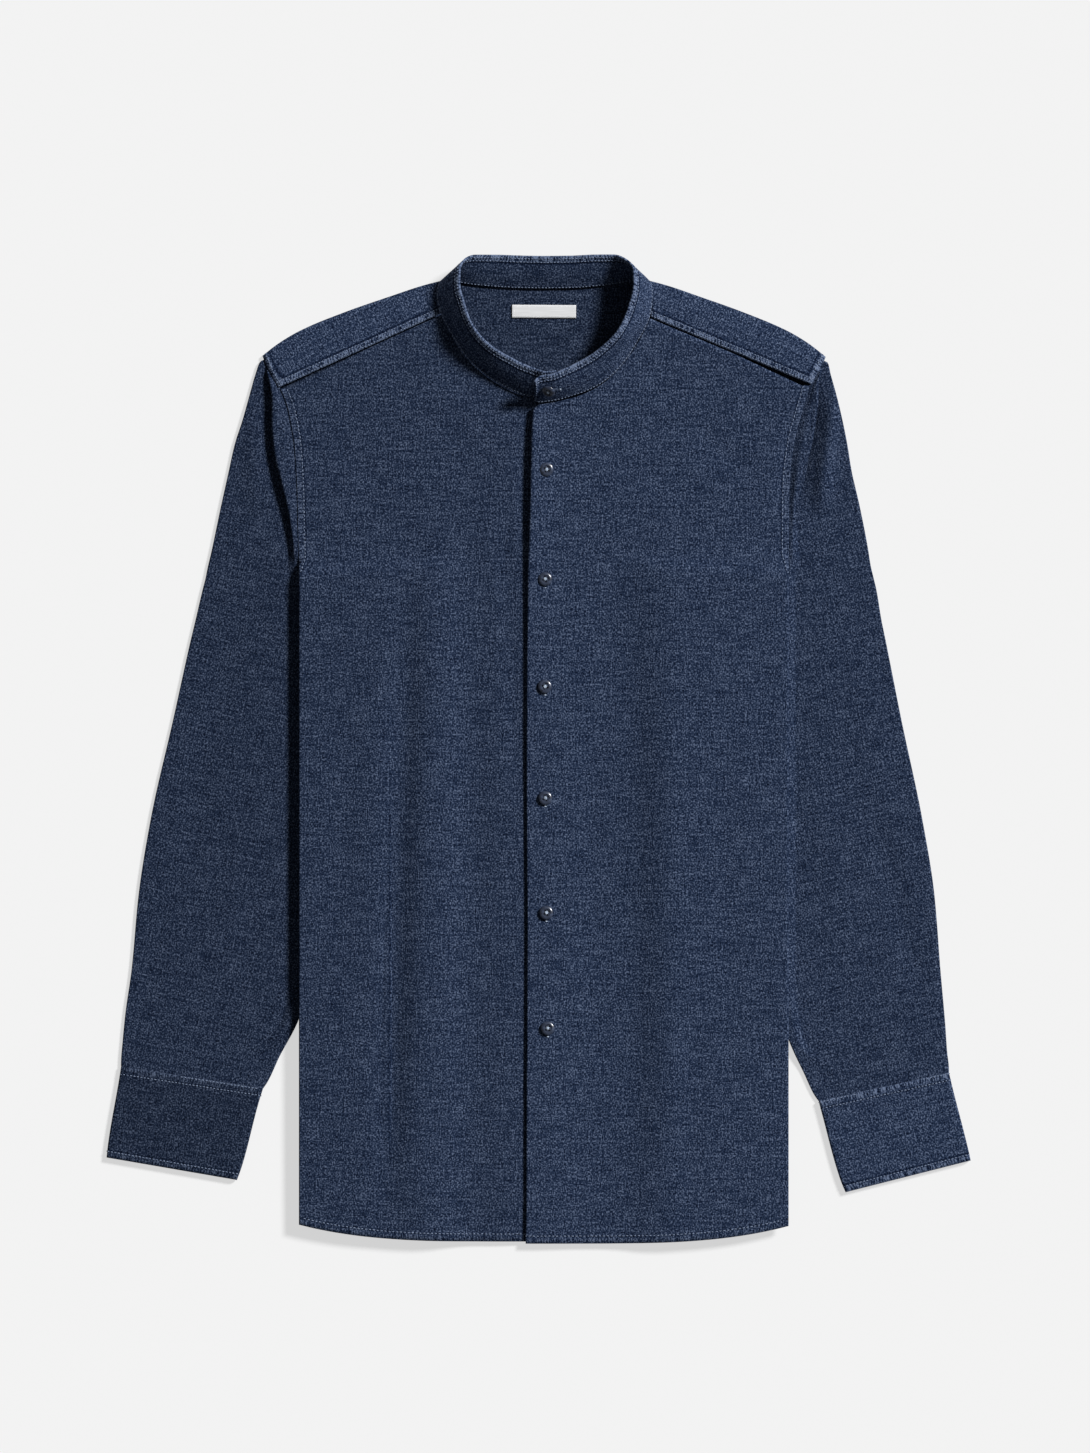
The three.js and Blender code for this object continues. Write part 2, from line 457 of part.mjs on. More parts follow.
// Collar band: pairs of seam and top points from the under end round the neck to the tab that lies on top.
const bandLines = table('seamX seamY panelZ topX topY', [
  [22.8, 284.4, 3.8, 14.8, 302.4],
  [8.4, 282.0, 3.8, 6.8, 301.4],
  [-7.6, 283.0, 3.8, -2.8, 304.4],
  [-18.4, 286.8, 4.0, -13.2, 308.4],
  [-31.6, 293.5, 4.2, -21.2, 312.8],
  [-44.9, 302.8, 4.4, -32.4, 318.8],
  [-56.9, 314.8, 4.7, -43.6, 328.0],
  [-68.8, 333.4, 5.1, -53.2, 341.2],
  [-76.7, 349.2, 5.3, -58.4, 356.4],
  [-80.0, 363.6, 4.4, -62.0, 371.6],
  [-78.0, 373.2, 3.0, -61.8, 383.4],
  [-72.4, 376.4, 1.6, -57.2, 391.6],
  [-60.4, 373.2, FLOOR_PLY, -49.0, 394.8],
  [-42.0, 370.8, FLOOR_PLY, -34.0, 395.0],
  [-18.0, 369.2, FLOOR_PLY, -14.0, 394.4],
  [5.2, 368.8, FLOOR_PLY, 5.2, 394.0],
  [28.4, 369.2, FLOOR_PLY, 26.0, 394.2],
  [52.4, 371.2, FLOOR_PLY, 46.0, 395.0],
  [70.0, 374.0, FLOOR_PLY, 60.4, 394.8],
  [84.4, 376.4, 1.6, 71.6, 390.0],
  [90.0, 373.2, 3.2, 76.4, 383.6],
  [91.4, 362.8, 5.0, 76.8, 371.6],
  [89.4, 346.8, 6.4, 73.2, 354.8],
  [79.6, 326.8, 6.6, 64.4, 334.8],
  [70.5, 312.1, 6.8, 54.8, 324.4],
  [58.6, 298.8, 7.1, 43.6, 315.6],
  [44.0, 288.9, 7.1, 33.2, 309.6],
  [28.1, 283.0, 7.1, 22.0, 304.0],
  [12.2, 279.0, 7.1, 10.8, 299.2],
  [1.0, 277.8, 7.1, 1.6, 297.6],
  [-2.4, 279.8, 7.1, -2.2, 293.6],
]);

function bandEnds(line) {
  const seam = point(line.seamX, line.seamY, line.panelZ + BAND_OVER_PANEL);
  const plan = Math.hypot(line.topX - line.seamX, line.topY - line.seamY);
  const top = point(line.topX, line.topY, seam.z + Math.sqrt(BAND_HEIGHT ** 2 - plan ** 2));
  return { seam, top };
}

function collar() {
  const rows = bandLines.map((line) => {
    const { seam, top } = bandEnds(line);
    const rise = top.clone().sub(seam);
    const outward = point(-rise.x, -rise.y, Math.hypot(rise.x, rise.y)).normalize();
    const at = (share) => {
      const bow = BAND_BOW * Math.sin(Math.PI * share);
      return seam.clone().addScaledVector(rise, share).addScaledVector(outward, bow);
    };
    return [0, 0.3, 0.65, 1].map(at);
  });
  return wall(rows, BAND_WALL);
}

add('collar', collar(), NAVY);

// Buttons: a dished disc with a raised rim.
function buttonGeometry() {
  const half = BUTTON_THICK / 2;
  const profile = [
    [0, -half],
    [BUTTON_RADIUS - 1, -half],
    [BUTTON_RADIUS, -half + 0.8],
    [BUTTON_RADIUS, half - 0.5],
    [BUTTON_RADIUS - 0.5, half],
    [BUTTON_RADIUS - BUTTON_RIM, half],
    [BUTTON_RADIUS - BUTTON_RIM - 0.8, half - BUTTON_DISH],
    [0, half - BUTTON_DISH],
  ].map(([r, z]) => new THREE.Vector2(r, z));
  const lathe = new THREE.LatheGeometry(profile, 20);
  lathe.rotateX(Math.PI / 2);
  lathe.deleteAttribute('normal');
  lathe.deleteAttribute('uv');
  const welded = mergeVertices(lathe, 1e-4);
  const index = [...welded.index.array];
  const kept = [];
  for (let i = 0; i < index.length; i += 3) {
    const [a, b, c] = index.slice(i, i + 3);
    if (a !== b && b !== c && c !== a) kept.push(a, b, c);
  }
  welded.setIndex(kept);
  if (signedVolume(welded) < 0) welded.setIndex(kept.map((_, i) => kept[i - (i % 3) + 2 - (i % 3)]));
  return welded;
}

const frontButtons = table('x y', [
  [7.3, 223.9],
  [6.3, 136.3],
  [6.0, 50.4],
  [6.3, -38.7],
  [7.1, -130.4],
  [8.2, -222.7],
]);
const PLACKET_TOP = 7.1 + CLOTH / 2;
frontButtons.forEach((place, i) => {
  const button = add(`button_front_${i + 1}`, buttonGeometry(), BUTTON_NAVY);
  button.position.set(place.x, place.y, PLACKET_TOP + SEAM + BUTTON_THICK / 2);
});

function collarButton() {
  const { seam, top } = bandEnds(bandLines[28]);
  const rise = top.clone().sub(seam);
  const lean = Math.atan2(rise.z, rise.y);
  const outward = point(0, -Math.sin(lean), Math.cos(lean));
  const off = BAND_WALL / 2 + BAND_BOW + 3 * SEAM + BUTTON_THICK / 2;
  const middle = seam.clone().lerp(top, 0.46).addScaledVector(outward, off);
  const button = add('button_collar', buttonGeometry(), BUTTON_NAVY);
  button.position.set(8.6, middle.y, middle.z);
  button.rotation.x = lean;
}

collarButton();

// Woven label, left blank, on the inside of the yoke.
const label = add('neck_label', new THREE.BoxGeometry(LABEL.width, LABEL.height, LABEL.thick), LABEL_WHITE);
label.position.set(LABEL.x, LABEL.y, CLOTH + SEAM + LABEL.thick / 2);
label.rotation.z = LABEL.tilt;

// The origin is at the bottom centre of the whole shirt.
shirt.updateMatrixWorld(true);
const box = new THREE.Box3().setFromObject(shirt, true);
const centre = box.getCenter(new THREE.Vector3());
shirt.position.set(-centre.x, -centre.y, -box.min.z);
shirt.updateMatrixWorld(true);

export default shirt;
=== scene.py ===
# %% [markdown]
# A band-collar shirt of slub chambray lies flat on its back. The imported model gives the frame: one solid for
# each cut piece, at its real size. Here every cloth solid gets a thin, fine sheet on the same folds, and the
# sewing is added. The frame's box is kept.

# %% Load the frame
import math

import bmesh
import bpy
import numpy as np
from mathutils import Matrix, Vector


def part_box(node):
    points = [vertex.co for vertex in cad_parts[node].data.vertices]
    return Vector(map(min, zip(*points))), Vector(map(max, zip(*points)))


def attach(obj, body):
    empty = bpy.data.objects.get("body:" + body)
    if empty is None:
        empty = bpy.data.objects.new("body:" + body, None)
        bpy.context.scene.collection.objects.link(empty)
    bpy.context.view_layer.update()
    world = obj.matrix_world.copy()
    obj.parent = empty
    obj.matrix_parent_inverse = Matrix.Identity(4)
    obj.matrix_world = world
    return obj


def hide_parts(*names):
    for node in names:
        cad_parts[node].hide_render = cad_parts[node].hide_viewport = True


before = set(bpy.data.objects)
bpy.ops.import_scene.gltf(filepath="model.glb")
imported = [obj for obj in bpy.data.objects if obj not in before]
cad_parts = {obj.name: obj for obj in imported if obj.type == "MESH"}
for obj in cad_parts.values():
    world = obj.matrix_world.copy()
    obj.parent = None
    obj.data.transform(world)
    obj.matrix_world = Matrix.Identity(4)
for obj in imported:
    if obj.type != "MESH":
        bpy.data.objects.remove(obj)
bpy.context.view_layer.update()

# %% [markdown]
# All the numbers of the cut are in millimetres from the middle of the shirt, and the frame's origin is a hair
# away from there. The label's box says how far, because the label is the one piece placed by its own middle.

# %% Units and the shirt's own origin
MM = 0.001
LABEL_X, LABEL_Y = 5.2, 350.4
label_low, label_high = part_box("neck_label")
SHIFT = np.array([
    (label_low[0] + label_high[0]) / 2 / MM - LABEL_X,
    (label_low[1] + label_high[1]) / 2 / MM - LABEL_Y,
    0.0,
])
print("shift of the shirt's origin, mm", SHIFT.round(2))

# %% [markdown]
# A product photograph from straight above is nearly a parallel view, so a long lens far away suits it. The
# frame is 872 by 1162 mm, and a little of the surface shows all round.

# %% Camera
FRAME_LONG = 1162.4
FRAME_CENTRE = (6.0, 18.4)
LENS = 250.0
camera_data = bpy.data.cameras.new("camera")
camera_data.lens = LENS
camera_data.sensor_width = 36.0
camera_data.dof.use_dof = False
camera = bpy.data.objects.new("camera", camera_data)
bpy.context.scene.collection.objects.link(camera)
distance = LENS * FRAME_LONG / 36.0
camera.location = (
    (FRAME_CENTRE[0] + SHIFT[0]) * MM,
    (FRAME_CENTRE[1] + SHIFT[1]) * MM,
    distance * MM,
)
camera_data.clip_end = 30
bpy.context.scene.camera = camera
print("camera height, m", round(distance * MM, 2))

# %% [markdown]
# The surface is a white lit table, so shadows on it stay pale. One lamp, far away and high on the right,
# lights the whole shirt evenly and at a slant: it draws the weave, and leaves the gaps between pieces dark.

# %% Surface and light
scene = bpy.context.scene
scene.view_settings.view_transform = "Standard"
world = bpy.data.worlds.new("studio")
world.use_nodes = True
world.node_tree.nodes["Background"].inputs["Color"].default_value = (1.0, 1.0, 1.0, 1.0)
world.node_tree.nodes["Background"].inputs["Strength"].default_value = 0.1
scene.world = world


def new_mesh_object(name, vertices, faces):
    mesh = bpy.data.meshes.new(name)
    mesh.from_pydata(vertices, [], faces)
    mesh.update()
    thing = bpy.data.objects.new(name, mesh)
    scene.collection.objects.link(thing)
    return thing


FLOOR_HALF = 6.0
FLOOR_Z = -0.0004
FLOOR_SIGNS = ((-1, -1), (1, -1), (1, 1), (-1, 1))
floor_corners = [(x * FLOOR_HALF, y * FLOOR_HALF, FLOOR_Z) for x, y in FLOOR_SIGNS]
floor = new_mesh_object("floor", floor_corners, [(0, 1, 2, 3)])
table_top = bpy.data.materials.new("lit_table")
table_top.use_nodes = True
table_shader = table_top.node_tree.nodes["Principled BSDF"]
table_shader.inputs["Base Color"].default_value = (0.3, 0.3, 0.3, 1.0)
table_shader.inputs["Roughness"].default_value = 0.9
table_shader.inputs["Specular IOR Level"].default_value = 0.0
table_shader.inputs["Emission Color"].default_value = (1.0, 1.0, 1.0, 1.0)
table_shader.inputs["Emission Strength"].default_value = 0.618
floor.data.materials.append(table_top)

KEY_FROM = (1.6, 1.15, 1.5)
key = bpy.data.lights.new("key", "SUN")
key.energy = 4.25
key.angle = math.radians(12)
key_lamp = bpy.data.objects.new("key", key)
key_lamp.location = KEY_FROM
key_lamp.rotation_mode = "QUATERNION"
key_lamp.rotation_quaternion = (-Vector(KEY_FROM)).to_track_quat("-Z", "Y")
scene.collection.objects.link(key_lamp)
key_height = math.degrees(math.asin(KEY_FROM[2] / math.hypot(*KEY_FROM)))
print("key height above the horizon, degrees", round(key_height))

# %% [markdown]
# Cloth that is cut, folded and pressed is a sheet whose cross-section is a bent line. Each panel is written
# as a few rows of corner points. A row is rounded at its corners, the rows are joined by smooth curves, and
# the grid that comes out is thickened. This gives true folds with no simulation, and each piece stays put.

# %% Sheets from rows of corner points
PLY = 0.62  # thickness of one ply of the cloth
STEP = 3.6  # usual size of a face


def table(columns, rows):
    names = columns.split()
    return [dict(zip(names, row)) for row in rows]


def point(x, y, z):
    return np.array([x, y, z], dtype=float)


def toward(a, b, share, z=None):
    p = a + (b - a) * share
    if z is not None:
        p = point(p[0], p[1], z)
    return p


def bend_line(corners, bends, cuts):
    """Line through the corners: bends are steps round each inner one, cuts are steps along each straight."""
    line = [corners[0]]
    for i in range(1, len(corners)):
        here, before = corners[i], corners[i - 1]
        steps = bends[i - 1] if i < len(corners) - 1 else 0
        leg = 0.0
        if steps:
            after = corners[i + 1]
            leg = 0.46 * min(np.linalg.norm(here - before), np.linalg.norm(here - after))
        entry = here + (before - here) * (leg / np.linalg.norm(before - here))
        start = line[-1]
        line += [start + (entry - start) * k / cuts[i - 1] for k in range(1, cuts[i - 1] + 1)]
        if steps:
            leave = here + (after - here) * (leg / np.linalg.norm(after - here))
            for k in range(1, steps + 1):
                t = k / steps
                line.append((1 - t) ** 2 * entry + 2 * t * (1 - t) * here + t * t * leave)
    return np.array(line)


def smooth_between(places, values, wanted):
    """Curve through values at places, with no overshoot between them (Fritsch and Carlson's slopes)."""
    h = np.diff(places)[:, None]
    slope = np.diff(values, axis=0) / h
    tangent = np.zeros_like(values)
    tangent[0], tangent[-1] = slope[0], slope[-1]
    w1 = 2 * h[1:] + h[:-1]
    w2 = h[1:] + 2 * h[:-1]
    same = slope[:-1] * slope[1:] > 0
    with np.errstate(divide="ignore", invalid="ignore"):
        mean = (w1 + w2) / (w1 / slope[:-1] + w2 / slope[1:])
    tangent[1:-1] = np.where(same, mean, 0.0)
    k = np.clip(np.searchsorted(places, wanted, side="right") - 1, 0, len(places) - 2)
    span = (places[k + 1] - places[k])[:, None]
    t = ((wanted - places[k])[:, None]) / span
    return (
        (2 * t**3 - 3 * t**2 + 1) * values[k]
        + (t**3 - 2 * t**2 + t) * span * tangent[k]
        + (3 * t**2 - 2 * t**3) * values[k + 1]
        + (t**3 - t**2) * span * tangent[k + 1]
    )


def grid_from(rows, bends, step=STEP, round_steps=5):
    """Rows of corners to an even grid of middle points."""
    spans = np.array([[np.linalg.norm(b - a) for a, b in zip(row, row[1:])] for row in rows])
    cuts = np.maximum(1, np.ceil(spans.max(axis=0) / step)).astype(int)
    rough = np.array([bend_line(row, [round_steps if b else 0 for b in bends], cuts) for row in rows])
    gaps = np.linalg.norm(np.diff(rough, axis=0), axis=2)
    places = np.concatenate([[0.0], np.cumsum(np.maximum(gaps.mean(axis=1), 0.2))])
    wanted = []
    for a, b in zip(places, places[1:]):
        pieces = max(2, math.ceil((b - a) / step))
        wanted += [a + (b - a) * k / pieces for k in range(pieces)]
    wanted = np.array([*wanted, places[-1]])
    flat = rough.reshape(len(rows), -1)
    return smooth_between(places, flat, wanted).reshape(len(wanted), rough.shape[1], 3)


def grid_normals(grid):
    along = np.gradient(grid, axis=1)
    down = np.gradient(grid, axis=0)
    normal = np.cross(along, down)
    return normal / np.maximum(np.linalg.norm(normal, axis=2, keepdims=True), 1e-9)


def grain_by_plan(angle):
    """Thread coordinates in metres: the plan turned so that the warp follows the piece."""
    c, s = math.cos(math.radians(angle)), math.sin(math.radians(angle))

    def threads_at(grid):
        x, y = grid[..., 0], grid[..., 1]
        return np.stack([x * c + y * s, y * c - x * s], -1) * MM

    return threads_at


FAR = 30.0  # stands for any place that is not near a sewn edge


def press(grid, marks):
    """Soft troughs (minus) and ridges (plus) in the upper ply: x0, y0, x1, y1, half width, height in mm."""
    upward = grid_normals(grid)[..., 2]
    upper = upward * np.sign(np.median(upward)) > 0.4
    pressed = grid.copy()
    for x0, y0, x1, y1, half_width, height in marks:
        start, run = np.array([x0, y0]), np.array([x1 - x0, y1 - y0])
        length = np.linalg.norm(run)
        ahead = run / length
        off = grid[..., :2] - start
        share = (off @ ahead) / length
        across = off @ np.array([-ahead[1], ahead[0]])
        ends = np.clip(np.minimum(share, 1 - share) / 0.3, 0, 1)
        ends = ends * ends * (3 - 2 * ends)
        pressed[..., 2] += np.where(upper, height * ends * np.exp(-((across / half_width) ** 2)), 0.0)
    return pressed


def edge_distance(grid, edge):
    """For each grid point, how far it is from a named edge, and how far along that edge, in mm."""
    axis = 1 if edge in ("left", "right") else 0
    steps = np.linalg.norm(np.diff(grid, axis=axis), axis=2)
    travel = np.cumsum(steps, axis=axis)
    travel = np.concatenate([np.zeros_like(travel.take([0], axis)), travel], axis=axis)
    if edge in ("right", "last"):
        travel = travel.take([-1], axis) - travel
    line = grid.take(0 if edge in ("left", "first") else -1, axis)
    along = np.concatenate([[0.0], np.cumsum(np.linalg.norm(np.diff(line, axis=0), axis=1))])
    along = np.broadcast_to(np.expand_dims(along, axis), travel.shape)
    return travel, along


def seam_field(grid, edges):
    """Distance from the nearest of the sewn edges and the place along it, in metres."""
    field = np.full((*grid.shape[:2], 2), FAR)
    for edge in edges:
        away, along = edge_distance(grid, edge)
        nearer = away < field[..., 0]
        field[nearer] = np.stack([away, along], -1)[nearer]
    return field * MM


def cloth(name, grid, grain, material, ply=PLY, sewn=()):
    """A closed thin wall round the grid, with UV maps for the threads and for the sewn edges."""
    normal = grid_normals(grid)
    rows, columns = grid.shape[:2]
    count = rows * columns
    middle = grid + SHIFT
    vertices = np.concatenate([middle + normal * ply / 2, middle - normal * ply / 2]).reshape(-1, 3) * MM
    ids = np.arange(count).reshape(rows, columns)
    a, b, c, d = ids[:-1, :-1], ids[:-1, 1:], ids[1:, 1:], ids[1:, :-1]
    top = np.stack([a, b, c, d], -1).reshape(-1, 4)
    under = top[:, ::-1] + count
    rim = np.concatenate([ids[0, :-1], ids[:-1, -1], ids[-1, :0:-1], ids[:0:-1, 0]])
    after = np.roll(rim, -1)
    edge = np.stack([after, rim, rim + count, after + count], -1)
    faces = np.concatenate([top, under, edge])
    thing = new_mesh_object(name, vertices.tolist(), faces.tolist())
    mesh = thing.data
    corner_vertex = np.zeros(len(mesh.loops), dtype=np.int32)
    mesh.loops.foreach_get("vertex_index", corner_vertex)
    for map_name, values in (("threads", grain(grid)), ("seams", seam_field(grid, sewn))):
        values = values.reshape(-1, 2)
        values = np.concatenate([values, values])
        layer = mesh.uv_layers.new(name=map_name)
        layer.data.foreach_set("uv", values[corner_vertex].astype(np.float32).ravel())
    mesh.polygons.foreach_set("use_smooth", np.ones(len(mesh.polygons), dtype=bool))
    mesh.materials.append(material)
    tidy = bmesh.new()
    tidy.from_mesh(mesh)
    bmesh.ops.recalc_face_normals(tidy, faces=tidy.faces)
    tidy.to_mesh(mesh)
    tidy.free()
    print(name, "faces", len(mesh.polygons))
    return thing


# %% [markdown]
# The cloth is a chambray: dark blue warp and paler weft, of uneven yarns, so it looks speckled from close by
# and shows faint streaks along both threads. Noise stretched along each thread gives the streaks, fine noise
# gives the speckle, and the same value drives a small bump. Washing wears the sewn edges: a ladder of uneven
# puckers between the edge and its stitches follows the second UV map, paler on the puckers and darker between
# them, partly washed wear and partly painted shade. The very edge is painted paler, partly worn threads and
# partly a painted highlight on the fold, and the stitch line is painted darker, a painted shadow in its
# groove.
# Each panel's colours are scaled by a brightness factor that is painted light and shade: painted shade where
# the panel lies in the band's shadow and where it is turned from the lamp, painted light where it is turned
# toward it. Some seams are washed more than others, so each panel has its own strength of seam wear and
# painted seam shade.

# %% Chambray material
def srgb(r, g, b):
    linear = [((c / 255 + 0.055) / 1.055) ** 2.4 if c > 10.3 else c / 255 / 12.92 for c in (r, g, b)]
    return (*linear, 1.0)


class Shading:
    """Short forms for a material's nodes and links."""

    def __init__(self, name):
        self.material = bpy.data.materials.new(name)
        self.material.use_nodes = True
        self.nodes = self.material.node_tree.nodes
        self.links = self.material.node_tree.links
        self.shader = self.nodes["Principled BSDF"]

    def put(self, value, socket):
        if isinstance(value, bpy.types.NodeSocket):
            self.links.new(value, socket)
        else:
            socket.default_value = value

    def uv(self, name):
        node = self.nodes.new("ShaderNodeUVMap")
        node.uv_map = name
        return node.outputs["UV"]

    def sum(self, operation, *values, clamp=False):
        node = self.nodes.new("ShaderNodeMath")
        node.operation = operation
        node.use_clamp = clamp
        for value, socket in zip(values, node.inputs):
            self.put(value, socket)
        return node.outputs[0]

    def noise(self, source, scale, detail, seed):
        mapping = self.nodes.new("ShaderNodeMapping")
        mapping.inputs["Scale"].default_value = (*scale, 1.0)
        mapping.inputs["Location"].default_value = (seed * 3.7, seed * 1.3, seed)
        self.links.new(source, mapping.inputs["Vector"])
        node = self.nodes.new("ShaderNodeTexNoise")
        node.noise_dimensions = "2D"
        node.inputs["Scale"].default_value = 1.0
        node.inputs["Detail"].default_value = detail
        node.inputs["Roughness"].default_value = 0.6
        self.links.new(mapping.outputs["Vector"], node.inputs["Vector"])
        return node.outputs["Fac"]

    def weighted(self, terms):
        """Sum of noises round 0.5, each counted from its own middle."""
        total = 0.5 - 0.5 * sum(weight for _, weight in terms)
        for output, weight in terms:
            total = self.sum("MULTIPLY_ADD", output, weight, total)
        return total

    def between(self, value, low, high):
        """1 in the middle of a band of values, 0 at its two ends."""
        middle, half = (low + high) / 2, (high - low) / 2
        off = self.sum("ABSOLUTE", self.sum("SUBTRACT", value, middle))
        return self.sum("SUBTRACT", 1.0, self.sum("DIVIDE", off, half), clamp=True)

    def ramp(self, value, stops):
        node = self.nodes.new("ShaderNodeValToRGB")
        elements = node.color_ramp.elements
        while len(elements) < len(stops):
            elements.new(0.5)
        for element, (position, colour) in zip(elements, sorted(stops)):
            element.position = position
            element.color = colour
        self.links.new(value, node.inputs["Fac"])
        return node.outputs["Color"]

    def bump(self, height, strength, distance):
        node = self.nodes.new("ShaderNodeBump")
        node.inputs["Strength"].default_value = strength
        node.inputs["Distance"].default_value = distance
        self.links.new(height, node.inputs["Height"])
        self.links.new(node.outputs["Normal"], self.shader.inputs["Normal"])


STITCH_LINE = 0.0052  # the row of stitches lies this far inside a sewn edge, in metres
RUNG_PITCH = 0.0023  # puckers between an edge and its stitches follow each other at this distance
RUNG_WANDER = 9.0  # how far the uneven washing shifts a pucker, in radians of the pitch
RUNG_DEPTH = 0.2  # share of the regular puckers beside the uneven washing
# a pucker's paler and darker cloth is partly washed wear and partly painted shade of the pucker
RUNG_LEVEL = 0.42  # above this the cloth of a pucker is paler than the weave, below it darker
DARK, MIDDLE, LIGHT = srgb(5, 13, 32), srgb(32, 45, 69), srgb(96, 109, 134)


def chambray(name, painted_brightness=1.0, seed=0.0, seam_wear_and_shade=1.0):
    # the brightness factor scales all three colours: painted light and shade for how the panel lies to the
    # lamp
    dark, middle, light = [(*[part * painted_brightness for part in colour[:3]], 1.0) for colour in (DARK, MIDDLE, LIGHT)]
    cloth_look = Shading(name)
    threads = cloth_look.uv("threads")
    speckle = cloth_look.noise(threads, (1150.0, 600.0), 0.0, seed + 1)
    yarn = cloth_look.noise(threads, (560.0, 1150.0), 0.0, seed + 2)
    warp = cloth_look.noise(threads, (700.0, 60.0), 0.0, seed + 3)
    weft = cloth_look.noise(threads, (52.0, 430.0), 0.0, seed + 4)
    slub = cloth_look.noise(threads, (9.0, 360.0), 1.0, seed + 5)
    cloud = cloth_look.noise(threads, (16.0, 24.0), 2.0, seed + 6)
    weave = cloth_look.weighted([
        (speckle, 0.85), (yarn, 0.62), (warp, 0.25), (weft, 0.23), (slub, 0.08), (cloud, 0.015),
    ])

    seams = cloth_look.uv("seams")
    split = cloth_look.nodes.new("ShaderNodeSeparateXYZ")
    cloth_look.links.new(seams, split.inputs["Vector"])
    away = split.outputs["X"]
    uneven = cloth_look.noise(seams, (120.0, 260.0), 1.0, seed + 7)
    wander = cloth_look.sum("MULTIPLY", uneven, RUNG_WANDER)
    turns = cloth_look.sum("MULTIPLY_ADD", split.outputs["Y"], 2 * math.pi / RUNG_PITCH, wander)
    rungs = cloth_look.sum("MULTIPLY_ADD", cloth_look.sum("SINE", turns), RUNG_DEPTH, uneven)
    welt = cloth_look.between(away, -0.001, STITCH_LINE + 0.0004)
    # painted shadow: the stitch line is painted darker, for the shade in its groove
    stitch_line_shadow = cloth_look.between(away, STITCH_LINE - 0.0005, STITCH_LINE + 0.0022)
    # the very edge is painted paler: partly worn threads, partly a painted highlight on the fold
    rim = cloth_look.between(away, -0.0015, 0.0015)
    # the puckers between edge and stitches: partly washed wear, partly painted shade and light on the puckers
    puckers_wear_and_shade = cloth_look.sum("MULTIPLY", cloth_look.sum("SUBTRACT", rungs, RUNG_LEVEL), welt)
    # the weave plus painted seam wear, highlight and shadow; the same value drives the bump
    weave_wear_and_shade = cloth_look.sum("MULTIPLY_ADD", puckers_wear_and_shade, 2.3 * seam_wear_and_shade, weave)
    weave_wear_and_shade = cloth_look.sum("MULTIPLY_ADD", rim, 0.26 * seam_wear_and_shade, weave_wear_and_shade)
    weave_wear_and_shade = cloth_look.sum("MULTIPLY_ADD", stitch_line_shadow, -0.5 * seam_wear_and_shade, weave_wear_and_shade)
    colour = cloth_look.ramp(weave_wear_and_shade, [(0.08, dark), (0.5, middle), (0.95, light)])
    cloth_look.links.new(colour, cloth_look.shader.inputs["Base Color"])
    cloth_look.bump(weave_wear_and_shade, 0.35, 0.0003)
    cloth_look.shader.inputs["Roughness"].default_value = 0.9
    cloth_look.shader.inputs["Specular IOR Level"].default_value = 0.06
    cloth_look.shader.inputs["Sheen Weight"].default_value = 0.012
    cloth_look.shader.inputs["Sheen Roughness"].default_value = 0.5
    return cloth_look.material


# The brightness factor of each copy is painted light and shade: painted shade on the yoke's inside under the
# band, painted light on the yoke and the collar's face, and a painted brightness of their own on the fronts,
# sleeves and cuffs for how each lies to the lamp.
chambray_body = chambray("chambray_body")
chambray_inside_painted_shade = chambray("chambray_inside_painted_shade", painted_brightness=0.8, seed=90.0, seam_wear_and_shade=0.3)
chambray_yoke = chambray("chambray_yoke", painted_brightness=1.2, seed=80.0, seam_wear_and_shade=0.75)
chambray_collar = chambray("chambray_collar", painted_brightness=1.25, seed=95.0, seam_wear_and_shade=0.9)
chambray_front_right = chambray("chambray_front_right", painted_brightness=0.97, seed=60.0, seam_wear_and_shade=0.36)
chambray_front_left = chambray("chambray_front_left", painted_brightness=1.11, seed=70.0, seam_wear_and_shade=0.36)
chambray_sleeve_right = chambray("chambray_sleeve_right", painted_brightness=0.82, seed=20.0)
chambray_sleeve_left = chambray("chambray_sleeve_left", painted_brightness=1.0, seed=30.0)
chambray_cuff_right = chambray("chambray_cuff_right", painted_brightness=0.68, seed=40.0, seam_wear_and_shade=0.4)
chambray_cuff_left = chambray("chambray_cuff_left", painted_brightness=1.18, seed=50.0, seam_wear_and_shade=0.6)

# %% [markdown]
# The two fronts and the back lie on each other. Their sides are pushed in between front and back, so that
# each side edge is a fold and the side seam is hidden well inside. The hem curves up to both sides, so the
# last rows are pulled onto its curve, and the left front hangs a little lower than the right one.

# %% Body sizes
FOLD = 2.0
FLOOR_PLY = 0.5
SIDE_RIGHT, SIDE_LEFT = -190.3, 200.3
POCKET_RIGHT, POCKET_LEFT = -116.4, 94.0
TUCK_RIGHT, TUCK_LEFT = POCKET_RIGHT - SIDE_RIGHT, SIDE_LEFT - POCKET_LEFT
STACK_TOP = 9.1
SEAM_MIDDLE = 4.8
SLEEVE_UPPER, SLEEVE_LOWER, SLEEVE_LOW = 5.8, 3.8, 2.6
HEM_CENTRE, HEM_SIDE_RISE, HEM_CENTRE_X, HEM_HALF_WIDTH = -393.4, 14.5, 4.0, 197.0
HEM_CURVE, LEFT_HEM_DROP = 3.7, 1.6
HEM_REACH = 60.0  # the hem's curve fades out this far above it
BACK_HEM_UP = 3.5


def hem_at(x):
    off = min(abs(x - HEM_CENTRE_X) / HEM_HALF_WIDTH, 1.0)
    return HEM_CENTRE + HEM_SIDE_RISE * off**HEM_CURVE


def on_hem(line, up=0.0):
    return [point(p[0], hem_at(p[0]) + up, p[2]) for p in line]


